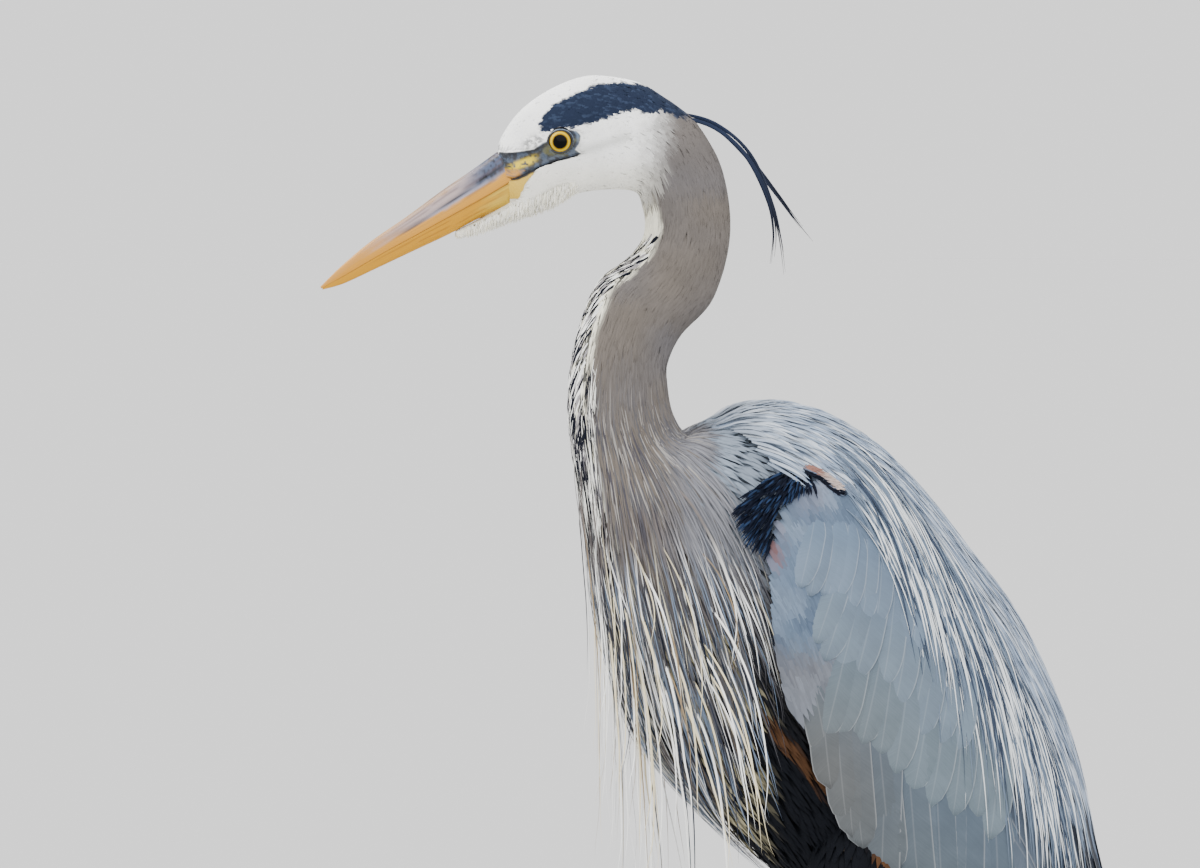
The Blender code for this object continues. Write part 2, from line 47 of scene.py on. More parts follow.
# Cross-sections from the bill to the tail: back y and z, belly y and z, half width,
# fullness, and the depth of the coat.
bodyRows = np.array([
    (-0.161, 0.883, -0.154, 0.845, 0.0115, -0.15, 0.0006),
    (-0.158, 0.893, -0.141, 0.844, 0.0135, -0.15, 0.0009),
    (-0.146, 0.909, -0.125, 0.853, 0.0160, -0.18, 0.0011),
    (-0.127, 0.922, -0.108, 0.857, 0.0185, -0.20, 0.0012),
    (-0.106, 0.930, -0.093, 0.859, 0.0210, -0.20, 0.0013),
    (-0.088, 0.930, -0.080, 0.859, 0.0225, -0.18, 0.0014),
    (-0.069, 0.926, -0.073, 0.858, 0.0230, -0.14, 0.0015),
    (-0.055, 0.918, -0.069, 0.856, 0.0230, -0.08, 0.0016),
    (-0.043, 0.910, -0.068, 0.853, 0.0228, -0.04, 0.0016),
    (-0.032, 0.900, -0.067, 0.849, 0.0225, 0.0, 0.0017),
    (-0.016, 0.871, -0.065, 0.839, 0.0215, 0.0, 0.0018),
    (-0.011, 0.830, -0.067, 0.827, 0.0210, 0.0, 0.0018),
    (-0.022, 0.790, -0.077, 0.815, 0.0210, 0.0, 0.0018),
    (-0.043, 0.767, -0.096, 0.800, 0.0215, 0.0, 0.0019),
    (-0.052, 0.749, -0.107, 0.774, 0.0220, 0.0, 0.0021),
    (-0.052, 0.736, -0.113, 0.749, 0.0225, 0.0, 0.0024),
    (-0.049, 0.719, -0.115, 0.721, 0.0240, 0.0, 0.0029),
    (-0.042, 0.706, -0.1125, 0.695, 0.0270, 0.0, 0.0036),
    (-0.038, 0.705, -0.1075, 0.669, 0.0330, 0.0, 0.0044),
    (-0.033, 0.709, -0.1015, 0.635, 0.0420, 0.0, 0.0056),
    (-0.022, 0.714, -0.0955, 0.597, 0.0500, 0.0, 0.0070),
    (-0.001, 0.717, -0.0850, 0.556, 0.0580, 0.05, 0.0080),
    (0.025, 0.714, -0.069, 0.515, 0.0630, 0.08, 0.0080),
    (0.053, 0.704, -0.047, 0.488, 0.0670, 0.08, 0.0080),
    (0.082, 0.682, -0.026, 0.466, 0.0690, 0.05, 0.0080),
    (0.110, 0.651, 0.001, 0.442, 0.0690, 0.0, 0.0080),
    (0.136, 0.615, 0.029, 0.419, 0.0670, 0.0, 0.0080),
    (0.158, 0.580, 0.058, 0.398, 0.0620, 0.0, 0.0080),
    (0.176, 0.543, 0.087, 0.380, 0.0550, 0.0, 0.0080),
    (0.188, 0.493, 0.123, 0.366, 0.0450, 0.0, 0.0070),
    (0.194, 0.443, 0.152, 0.360, 0.0330, 0.0, 0.0060),
    (0.199, 0.408, 0.172, 0.362, 0.0220, 0.0, 0.0050),
])

# The same over the folded wings, then the angles from the back, in degrees,
# where the mantle ends and where the wing's lower edge lies.
foldedRows = np.array([
    (-0.025, 0.7165, -0.099, 0.597, 0.0530, 0.0, 25, 26),
    (-0.003, 0.7235, -0.087, 0.556, 0.0640, 0.0, 34, 36),
    (0.025, 0.7245, -0.069, 0.515, 0.0740, 0.0, 46, 57),
    (0.056, 0.7150, -0.047, 0.488, 0.0810, 0.0, 42, 78),
    (0.090, 0.6930, -0.026, 0.466, 0.0840, 0.0, 45, 99),
    (0.119, 0.6630, 0.001, 0.442, 0.0840, 0.0, 50, 116),
    (0.147, 0.6280, 0.029, 0.419, 0.0820, 0.0, 56, 123),
    (0.171, 0.5980, 0.058, 0.398, 0.0775, 0.0, 60, 125),
    (0.191, 0.5630, 0.087, 0.380, 0.0710, 0.0, 56, 126),
    (0.207, 0.5260, 0.119, 0.371, 0.0630, 0.0, 46, 127),
    (0.219, 0.4910, 0.145, 0.364, 0.0540, 0.0, 32, 128),
    (0.228, 0.4490, 0.168, 0.355, 0.0450, 0.0, 16, 125),
    (0.238, 0.4050, 0.197, 0.349, 0.0370, 0.0, 8, 130),
    (0.250, 0.3560, 0.225, 0.320, 0.0290, 0.0, 8, 140),
    (0.262, 0.3080, 0.247, 0.290, 0.0210, 0.0, 9, 150),
    (0.275, 0.2640, 0.270, 0.258, 0.0120, 0.0, 12, 150),
])
foldedRows[:, 6:8] = np.radians(foldedRows[:, 6:8])

tailRows = np.array([
    (0.196, 0.402, 0.165, 0.378, 0.0180, 0.0),
    (0.207, 0.372, 0.188, 0.356, 0.0240, 0.0),
    (0.224, 0.332, 0.212, 0.321, 0.0300, 0.0),
    (0.243, 0.287, 0.236, 0.281, 0.0330, 0.0),
    (0.258, 0.246, 0.2545, 0.2435, 0.0270, 0.0),
])
chinRows = np.array([
    (-0.098, 0.882, -0.094, 0.8700, 0.0080, 0.0),
    (-0.125, 0.868, -0.118, 0.8560, 0.0130, 0.0),
    (-0.142, 0.860, -0.1345, 0.8500, 0.0110, 0.0),
    (-0.157, 0.852, -0.1510, 0.8448, 0.0090, 0.0),
    (-0.172, 0.842, -0.1680, 0.8390, 0.0060, 0.0),
    (-0.1885, 0.8335, -0.1875, 0.8316, 0.0015, 0.0),
])
upperBillRows = np.array([
    (-0.1616, 0.8826, -0.1545, 0.8640, 0.0108, 0.0),
    (-0.1790, 0.8705, -0.1700, 0.8550, 0.0094, 0.0),
    (-0.1970, 0.8585, -0.1890, 0.8445, 0.0078, 0.0),
    (-0.2200, 0.8420, -0.2130, 0.8315, 0.0060, 0.0),
    (-0.2430, 0.8265, -0.2380, 0.8180, 0.0042, 0.0),
    (-0.2620, 0.8110, -0.2590, 0.8060, 0.0026, 0.0),
    (-0.2750, 0.7985, -0.2743, 0.7975, 0.0006, 0.0),
])
lowerBillRows = np.array([
    (-0.1486, 0.8660, -0.1530, 0.8500, 0.0084, 0.0),
    (-0.1548, 0.8642, -0.1580, 0.8470, 0.0104, 0.0),
    (-0.1704, 0.8553, -0.1745, 0.8405, 0.0090, 0.0),
    (-0.1893, 0.8448, -0.1930, 0.8310, 0.0074, 0.0),
    (-0.2133, 0.8317, -0.2160, 0.8205, 0.0056, 0.0),
    (-0.2382, 0.8182, -0.2400, 0.8095, 0.0038, 0.0),
    (-0.2591, 0.8061, -0.2600, 0.8005, 0.0022, 0.0),
    (-0.2735, 0.7979, -0.2735, 0.7967, 0.0006, 0.0),
])


def paint(red, green, blue):
    # A colour given on a 0 to 255 scale, made linear for the shaders.
    c = np.array([red, green, blue]) / 255.0
    return np.where(c <= 0.04045, c / 12.92, ((c + 0.055) / 1.055) ** 2.4)


def unit(v):
    return v / np.maximum(np.linalg.norm(v, axis=-1, keepdims=True), 1e-9)


def smooth(low, high, value):
    t = np.clip((value - low) / (high - low), 0.0, 1.0)
    return t * t * (3 - 2 * t)


def mix(a, b, share):
    share = np.asarray(share)[..., None]
    return a * (1 - share) + b * share


def grain(x, y, seed=0):
    # Smooth noise from -1 to 1: random values on a grid, eased into one another.
    table = np.random.default_rng(seed).uniform(-1, 1, (64, 64))
    i, j = np.floor(x).astype(int), np.floor(y).astype(int)
    u, v = x - i, y - j
    u, v = u * u * (3 - 2 * u), v * v * (3 - 2 * v)
    i, j, k, m = i % 64, j % 64, (i + 1) % 64, (j + 1) % 64
    near = table[i, j] * (1 - u) + table[k, j] * u
    far = table[i, m] * (1 - u) + table[k, m] * u
    return near * (1 - v) + far * v


def rowAt(rows, place):
    last = len(rows) - 1
    place = np.clip(place, 0.0, last)
    start = np.minimum(place.astype(int), last - 1)
    t = (place - start)[..., None]
    p, q, r, s = (rows[np.clip(start + k, 0, last)] for k in (-1, 0, 1, 2))
    return 0.5 * (2 * q + (r - p) * t + (2 * p - 5 * q + 4 * r - s) * t**2 + (3 * q - p - 3 * r + s) * t**3)


def pointAt(rows, place, angle):
    row = rowAt(rows, place)
    back, belly = row[..., 0:2], row[..., 2:4]
    x = row[..., 4] * np.sin(angle) * (1 + row[..., 5] * np.cos(angle))
    yz = (back + belly) / 2 + (back - belly) / 2 * np.cos(angle)[..., None]
    return np.concatenate([x[..., None], yz], axis=-1)


def surfaceAt(rows, place, angle):
    # Point, the two ways along the surface, and the way out of it.
    step = 0.02
    along = pointAt(rows, place + step, angle) - pointAt(rows, place - step, angle)
    around = pointAt(rows, place, angle + step) - pointAt(rows, place, angle - step)
    out = unit(np.cross(around, along))
    return pointAt(rows, place, angle), along / (2 * step), around / (2 * step), out


def edgeAt(place, column):
    return rowAt(foldedRows, np.asarray(place, float))[..., column]


def profile(point):
    # Side-on place of a point: y as it looks a little from the front, and z.
    return point[..., 1] + sideLean * np.abs(point[..., 0]), point[..., 2]


def scatter(rows, places, angles, spacing, seed):
    # Roots spread evenly over part of a surface, about spacing apart.
    rng = np.random.default_rng(seed)

    def weight(place, angle):
        _, along, around, _ = surfaceAt(rows, place, angle)
        gap = spacing(place, angle) if callable(spacing) else spacing
        return np.linalg.norm(np.cross(along, around), axis=-1) / gap**2

    trial = weight(rng.uniform(*places, 4000), rng.uniform(*angles, 4000))
    most = np.percentile(trial, 99.5)
    count = int(most * (places[1] - places[0]) * (angles[1] - angles[0]))
    n = np.arange(count)
    place = places[0] + (places[1] - places[0]) * ((0.5 + n * 0.7548776662) % 1)
    angle = angles[0] + (angles[1] - angles[0]) * ((0.5 + n * 0.5698402910) % 1)
    kept = rng.random(count) < weight(place, angle) / most
    return place[kept], angle[kept]


def walk(rows, place, angle, heading, length, steps):
    # Follows a surface from each root. heading gives the wanted direction at a point.
    place, angle = place.copy(), angle.copy()
    points, outs, places, angles = [], [], [], []
    last = len(rows) - 1
    for k in range(steps + 1):
        point, along, around, out = surfaceAt(rows, place, angle)
        wanted = unit(heading(point, along, around, k / steps))
        if k:
            over = (place >= last - 1e-6)[:, None]
            point = np.where(over, points[-1] + wanted * (length / steps)[:, None], point)
            out = np.where(over, outs[-1], out)
        points.append(point)
        outs.append(out)
        places.append(place.copy())
        angles.append(angle.copy())
        a, b, c = (along * along).sum(-1), (along * around).sum(-1), (around * around).sum(-1)
        e, f = (wanted * along).sum(-1), (wanted * around).sum(-1)
        det = np.maximum(a * c - b * b, 1e-9)
        du, dv = (e * c - f * b) / det, (f * a - e * b) / det
        speed = np.maximum(np.linalg.norm(along * du[:, None] + around * dv[:, None], axis=-1), 0.3)
        place += np.clip(du / speed * length / steps, -1.2, 1.2)
        angle += np.clip(dv / speed * length / steps, -0.4, 0.4)
        place = np.clip(place, 0.0, last)
    return [np.stack(kept, 1) for kept in (points, outs, places, angles)]


def vaneBatch(centre, up, half, camber, tint, root, ribs, mirror, roll):
    # Feathers from their middle lines: each is a closed thin blade, arched across.
    count, rings = centre.shape[:2]
    along = unit(np.gradient(centre, axis=1))
    across = unit(np.cross(along, up))
    up = np.cross(across, along)
    turn = roll[:, None, None]
    across, up = across * np.cos(turn) + up * np.sin(turn), up * np.cos(turn) - across * np.sin(turn)
    offsets = np.linspace(-1, 1, ribs)
    sideways = half[..., None, None] * offsets[:, None]
    raised = camber[..., None, None] * (1 - offsets**2)[:, None]
    points = centre[:, :, None] + across[:, :, None] * sideways + up[:, :, None] * raised
    if tint.ndim == 3:
        tint = np.broadcast_to(tint[:, :, None], (count, rings, ribs, 3))
    ringShare = np.linspace(0, 1, rings)
    vane = np.empty((count, rings, ribs, 2))
    vane[..., 0] = (offsets + 1) / 2
    vane[..., 1] = ringShare[:, None]
    bake = root[:, None, None] + (vane - 0.5) * 0.003
    index = np.arange(count * rings * ribs).reshape(count, rings, ribs)
    following = np.roll(index, -1, axis=2)
    quads = np.stack([index[:, :-1], following[:, :-1], following[:, 1:], index[:, 1:]], -1).reshape(-1, 4)
    caps = np.concatenate([index[:, 0, ::-1], index[:, -1, :]])
    if mirror:
        points = points * np.array([-1.0, 1.0, 1.0])
        quads, caps = quads[:, ::-1], caps[:, ::-1]
        bake = bake * np.array([1.0, -1.0]) + np.array([0.0, 1.0])
    rim = np.broadcast_to(np.abs(offsets) > 0.99, (count, rings, ribs)).reshape(-1)
    return {"points": points.reshape(-1, 3), "quads": quads, "caps": caps, "tint": tint.reshape(-1, 3),
            "rim": rim,
            "bake": bake.reshape(-1, 2), "vane": vane.reshape(-1, 2)}


def pairOfBatches(centre, up, half, camber, tint, root, ribs, roll):
    return [vaneBatch(centre, up, half, camber, tint, root, ribs, mirror, roll) for mirror in (False, True)]


def newObject(name, data):
    made = bpy.data.objects.new(name, data)
    bpy.context.scene.collection.objects.link(made)
    return made


def newPiece(name, mesh, look, replaced=()):
    piece = newObject(name, mesh)
    if look:
        mesh.materials.clear()
        mesh.materials.append(look)
    mesh.shade_smooth()
    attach(piece, "root")
    if replaced:
        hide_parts(*replaced)


def setTint(mesh, tint):
    layer = mesh.color_attributes.new("tint", "FLOAT_COLOR", "POINT")
    rgba = np.concatenate([tint, np.ones((len(tint), 1))], axis=1)
    layer.data.foreach_set("color", rgba.astype(np.float32).reshape(-1))


def setMap(mesh, label, cornerUv):
    layer = mesh.uv_layers.new(name=label)
    layer.data.foreach_set("uv", cornerUv.astype(np.float32).reshape(-1))


def verticesOf(mesh):
    flat = np.empty(len(mesh.vertices) * 3, np.float32)
    mesh.vertices.foreach_get("co", flat)
    return flat.reshape(-1, 3)


def meshFrom(name, points, faces, tint=None, maps=None, border=None):
    # faces is a list of index tables, each with one number of corners.
    mesh = bpy.data.meshes.new(name)
    corners = np.concatenate([table.reshape(-1) for table in faces]).astype(np.int32)
    sizes = np.concatenate([np.full(len(table), table.shape[1]) for table in faces]).astype(np.int32)
    mesh.vertices.add(len(points))
    mesh.vertices.foreach_set("co", points.astype(np.float32).reshape(-1))
    mesh.loops.add(len(corners))
    mesh.loops.foreach_set("vertex_index", corners)
    mesh.polygons.add(len(sizes))
    starts = np.concatenate([[0], np.cumsum(sizes)[:-1]]).astype(np.int32)
    mesh.polygons.foreach_set("loop_start", starts)
    mesh.polygons.foreach_set("loop_total", sizes)
    mesh.update(calc_edges=True)
    if tint is not None:
        setTint(mesh, tint)
    for label, uv in (maps or {}).items():
        setMap(mesh, label, uv[corners])
    if border is not None:
        # A blade's rims stay crisp, so its two faces are lit apart.
        ends = np.empty(len(mesh.edges) * 2, np.int32)
        mesh.edges.foreach_get("vertices", ends)
        crisp = mesh.attributes.new("sharp_edge", "BOOLEAN", "EDGE")
        crisp.data.foreach_set("value", border[ends.reshape(-1, 2)].all(axis=1))
    return mesh


def featherPiece(name, batches, look, replaced=()):
    faces, offset, triangles = [], 0, 0
    for batch in batches:
        faces += [batch["quads"] + offset, batch["caps"] + offset]
        offset += len(batch["points"])
        triangles += 2 * len(batch["quads"]) + (batch["caps"].shape[1] - 2) * len(batch["caps"])
    joined = {key: np.concatenate([batch[key] for batch in batches])
              for key in ("points", "tint", "bake", "vane", "rim")}
    maps = {"OFBake": joined["bake"], "vane": joined["vane"]}
    mesh = meshFrom(name, joined["points"], faces, joined["tint"], maps, joined["rim"])
    print(name, "triangles:", triangles)
    newPiece(name, mesh, look, replaced)


def unwrap(rows, place, angle):
    return np.stack([0.02 + 0.96 * place / (len(rows) - 1), 0.5 + angle / (2 * math.pi) * 0.98], -1)


def treeOf(points):
    tree = KDTree(len(points))
    for number, point in enumerate(points):
        tree.insert(point, number)
    tree.balance()
    return tree


def node(tree, kind, values=None, **settings):
    # A value that is another node's output is linked, any other is set.
    made = tree.nodes.new(kind)
    for key, value in settings.items():
        setattr(made, key, value)
    for key, value in (values or {}).items():
        if isinstance(value, bpy.types.NodeSocket):
            tree.links.new(value, made.inputs[key])
        else:
            made.inputs[key].default_value = value
    return made


def maths(tree, operation, *values):
    return node(tree, "ShaderNodeMath", dict(enumerate(values)), operation=operation).outputs[0]


def rescaled(tree, value, fromLow, fromHigh, toLow=0.0, toHigh=1.0):
    ends = {"Value": value, "From Min": fromLow, "From Max": fromHigh, "To Min": toLow, "To Max": toHigh}
    return node(tree, "ShaderNodeMapRange", ends).outputs[0]


def scaled(tree, vector, factor):
    return node(tree, "ShaderNodeVectorMath", {0: vector, "Scale": factor}, operation="SCALE").outputs[0]


def noise(tree, vector, scale, detail):
    return node(tree, "ShaderNodeTexNoise", {"Vector": vector, "Scale": scale, "Detail": detail}).outputs[0]


def blended(tree, share, first, second):
    colours = [c if isinstance(c, bpy.types.NodeSocket) else (*c, 1) for c in (first, second)]
    return node(tree, "ShaderNodeMix", {0: share, 6: colours[0], 7: colours[1]}, data_type="RGBA").outputs[2]


def objectPlace(tree):
    return node(tree, "ShaderNodeTexCoord").outputs["Object"]


def mapPlace(tree, label):
    return node(tree, "ShaderNodeUVMap", uv_map=label).outputs[0]


def tintOf(tree):
    return node(tree, "ShaderNodeAttribute", attribute_name="tint").outputs["Color"]


def newLook(name, roughness, specular, coat=0.0, coatRoughness=0.1):
    look = bpy.data.materials.new(name)
    look.use_nodes = True
    shader = look.node_tree.nodes["Principled BSDF"]
    shader.inputs["Roughness"].default_value = roughness
    shader.inputs["Specular IOR Level"].default_value = specular
    shader.inputs["Coat Weight"].default_value = coat
    shader.inputs["Coat Roughness"].default_value = coatRoughness
    return look, look.node_tree, shader


def finishLook(tree, shader, colour, height, strength, distance):
    # Gives the shader its colour, and relief of this strength from a height.
    tree.links.new(colour, shader.inputs["Base Color"])
    relief = node(tree, "ShaderNodeBump", {"Strength": strength, "Distance": distance, "Height": height})
    tree.links.new(relief.outputs[0], shader.inputs["Normal"])


def groupFor(name, kind, ins, outs):
    tree = bpy.data.node_groups.new(name, kind)
    for label, kind, value in ins:
        socket = tree.interface.new_socket(label, in_out="INPUT", socket_type="NodeSocket" + kind)
        if value is not None:
            socket.default_value = value
    for label, kind in outs:
        tree.interface.new_socket(label, in_out="OUTPUT", socket_type="NodeSocket" + kind)
    return tree, tree.nodes.new("NodeGroupInput").outputs, tree.nodes.new("NodeGroupOutput").inputs


def makeBarbs():
    # Barbs of a feather: slanting lines from the shaft, a pale shaft and pale edges.
    ins = [("Colour", "Color", (0.5, 0.5, 0.5, 1)), ("Shaft", "Float", 0.3), ("Edge", "Float", 0.2),
           ("Lines", "Float", 60.0), ("Contrast", "Float", 0.2)]
    tree, given, result = groupFor("barbs", "ShaderNodeTree", ins, [("Colour", "Color"), ("Height", "Float")])
    across, along = node(tree, "ShaderNodeSeparateXYZ", {0: mapPlace(tree, "vane")}).outputs[:2]
    centred = maths(tree, "SUBTRACT", across, 0.5)
    fromShaft = maths(tree, "ABSOLUTE", centred)
    slanting = maths(tree, "ADD", along, maths(tree, "MULTIPLY", fromShaft, -0.16))
    counted = maths(tree, "MULTIPLY", slanting, given["Lines"])
    place = node(tree, "ShaderNodeCombineXYZ", {0: counted, 1: centred}).outputs[0]
    ripple = noise(tree, place, 1.0, 2.0)
    weighed = maths(tree, "MULTIPLY", maths(tree, "SUBTRACT", ripple, 0.5), given["Contrast"])
    toned = scaled(tree, given["Colour"], maths(tree, "ADD", weighed, 1.0))
    shaft = maths(tree, "MULTIPLY", rescaled(tree, fromShaft, 0.012, 0.03, 1.0, 0.0), given["Shaft"])
    edge = maths(tree, "MULTIPLY", rescaled(tree, fromShaft, 0.45, 0.49), given["Edge"])
    pale = blended(tree, maths(tree, "MAXIMUM", shaft, edge), toned, (0.80, 0.82, 0.84))
    tree.links.new(pale, result["Colour"])
    tree.links.new(ripple, result["Height"])
    return tree


barbs = makeBarbs()


def featherLook(name, shaft=0.0, edge=0.0, lines=60.0, contrast=0.25, roughness=0.75, specular=0.12,
                bump=0.15):
    look, tree, shader = newLook(name, roughness, specular)
    cloud = rescaled(tree, noise(tree, objectPlace(tree), 60.0, 3.0), 0.3, 0.7, 0.92, 1.06)
    values = {"Colour": scaled(tree, tintOf(tree), cloud), "Shaft": shaft, "Edge": edge, "Lines": lines,
              "Contrast": contrast}
    vane = node(tree, "ShaderNodeGroup", values, node_tree=barbs).outputs
    finishLook(tree, shader, vane["Colour"], vane["Height"], bump, 0.0006)
    return look


plumage = {
    "fluff": featherLook("fineFeather", contrast=0.12, lines=8.0, roughness=0.85, bump=0.04),
    "down": featherLook("softFeather", contrast=0.3, lines=12.0),
    "plume": featherLook("longPlume", contrast=0.25, lines=20.0, roughness=0.6),
    "vane": featherLook("wingFeather", shaft=0.05, edge=0.16, lines=110.0, contrast=0.28, roughness=0.68,
                        bump=0.08),
    "flight": featherLook("flightFeather", shaft=0.12, edge=0.05, lines=150.0, contrast=0.2, roughness=0.5,
                          specular=0.25),
}


# Lines drawn on the bird's profile, as (y, z) seen a little from the front.
faceEdge = np.array([
    (-0.1610, 0.8829), (-0.1514, 0.8826), (-0.1461, 0.8832), (-0.1375, 0.8847), (-0.1340, 0.8872),
    (-0.1298, 0.8896),
    (-0.1253, 0.8930), (-0.1215, 0.8956), (-0.1157, 0.8969), (-0.1104, 0.8960), (-0.1074, 0.8928),
    (-0.1080, 0.8878),
    (-0.1108, 0.8842), (-0.1068, 0.8816), (-0.1070, 0.8806), (-0.1104, 0.8790), (-0.1230, 0.8758),
    (-0.1356, 0.8710),
    (-0.1421, 0.8640), (-0.1448, 0.8582), (-0.1475, 0.8530), (-0.1560, 0.8480), (-0.1700, 0.8480),
    (-0.1700, 0.8829),
])
mouthLine = np.array([(-0.1060, 0.8812), (-0.1104, 0.8797), (-0.1230, 0.8765), (-0.1356, 0.8719),
                      (-0.1461, 0.8670),
                      (-0.1560, 0.8634)])
browLine = np.array([(-0.1530, 0.8826), (-0.1440, 0.8838), (-0.1350, 0.8862), (-0.1270, 0.8930),
                     (-0.1170, 0.8972),
                     (-0.1085, 0.8945), (-0.1060, 0.8890)])
loreLine = np.array([(-0.1595, 0.8818), (-0.1460, 0.8830), (-0.1380, 0.8836), (-0.1310, 0.8862),
                     (-0.1262, 0.8890)])
# Where the painted shadow along the cheek's fold runs.
cheekFoldShadow = np.array([(-0.1060, 0.8835), (-0.0950, 0.8865), (-0.0780, 0.8925)])
stripeTop = np.array([(-0.1345, 0.9010), (-0.1334, 0.9031), (-0.1261, 0.9118), (-0.1117, 0.9197),
                      (-0.0973, 0.9250),
                      (-0.0847, 0.9268), (-0.0702, 0.9262), (-0.0578, 0.9230), (-0.0461, 0.9180)])
stripeLow = np.array([(-0.1351, 0.8952), (-0.1261, 0.8961), (-0.1136, 0.8987), (-0.1009, 0.8996),
                      (-0.0922, 0.9031),
                      (-0.0831, 0.9074), (-0.0759, 0.9092), (-0.0668, 0.9074), (-0.0558, 0.9095),
                      (-0.0461, 0.9050)])


def distanceTo(line, q, z, closed=False):
    ends = np.roll(line, -1, axis=0) if closed else line[1:]
    best = np.full(np.shape(q), 1.0)
    for a, b in zip(line, ends):
        d = b - a
        t = np.clip(((q - a[0]) * d[0] + (z - a[1]) * d[1]) / (d @ d), 0, 1)
        best = np.minimum(best, np.hypot(q - a[0] - t * d[0], z - a[1] - t * d[1]))
    return best


def insideOf(line, q, z):
    within = np.zeros(np.shape(q), bool)
    for a, b in zip(line, np.roll(line, -1, axis=0)):
        spans = (a[1] > z) != (b[1] > z)
        within ^= spans & (q < (b[0] - a[0]) * (z - a[1]) / (b[1] - a[1] + 1e-12) + a[0])
    return within


def nearTo(line, q, z, width):
    # 1 on a line, falling away to 0 over about this width.
    return np.exp(-(distanceTo(line, q, z) / width)**2)


def heightOf(line, q):
    return np.interp(q, *np.array(line).T)


# Single markings: their place on the profile, how far they reach, and their slant.
blotches = {
    "forehead": ((-0.1385, 0.8885), (0.0055, 0.0036), 0.3),
    "loreHollow": ((-0.1395, 0.8775), (0.010, 0.0042), 0.0),
    "shoulderPink": ((0.0175, 0.640), (0.0042, 0.011), 0.0),
}


def blotch(name, q, z):
    # 1 in the middle of the marking, falling away softly all round.
    (middle, height), (wide, high), slant = blotches[name]
    return np.exp(-(((q - middle) / wide)**2 + ((z - height - (q - middle) * slant) / high)**2))


def bareShare(point, place):
    # 1 on the naked skin of the face, 0 under feathers.
    q, z = profile(point)
    q = q + grain(q * 700, z * 700, 5) * 0.0004
    near = distanceTo(faceEdge, q, z, closed=True)
    signed = np.where(insideOf(faceEdge, q, z), near, -near)
    return smooth(-0.0004, 0.0006, signed) * (place < 4.6)


coatColours = {
    "white": paint(254, 254, 252), "stripe": paint(28, 37, 56), "stripeLight": paint(60, 73, 98),
    "cream": paint(244, 240, 220), "taupe": paint(106, 99, 92), "lilac": paint(100, 97, 98),
    "ink": paint(12, 16, 28), "neckGrey": paint(88, 87, 90), "silver": paint(128, 130, 138),
    "mantle": paint(146, 162, 184),
    "belly": paint(8, 11, 18), "chestnut": paint(80, 54, 34),
}
# Where the striped front of neck and breast ends, from the chest up to the chin.
stripeEdge = np.array([(-0.052, 0.500), (-0.066, 0.555), (-0.079, 0.600), (-0.091, 0.650), (-0.099, 0.700),
                       (-0.097, 0.750)])
rustLine = np.array([(0.010, 0.530), (0.0175, 0.5205), (0.030, 0.507), (0.0461, 0.487)])
rustLow = np.array([(0.060, 0.471), (0.072, 0.455), (0.0883, 0.4317), (0.100, 0.410)])


def rustShare(q, z):
    near = np.minimum(distanceTo(rustLine, q, z), distanceTo(rustLow, q, z))
    return smooth(0.0056, 0.0030, near)


def silvered(q, z):
    # The breast is silvery towards the shoulder.
    return 0.8 * smooth(-0.062, -0.028, q) * smooth(0.590, 0.635, z) * smooth(0.735, 0.700, z)


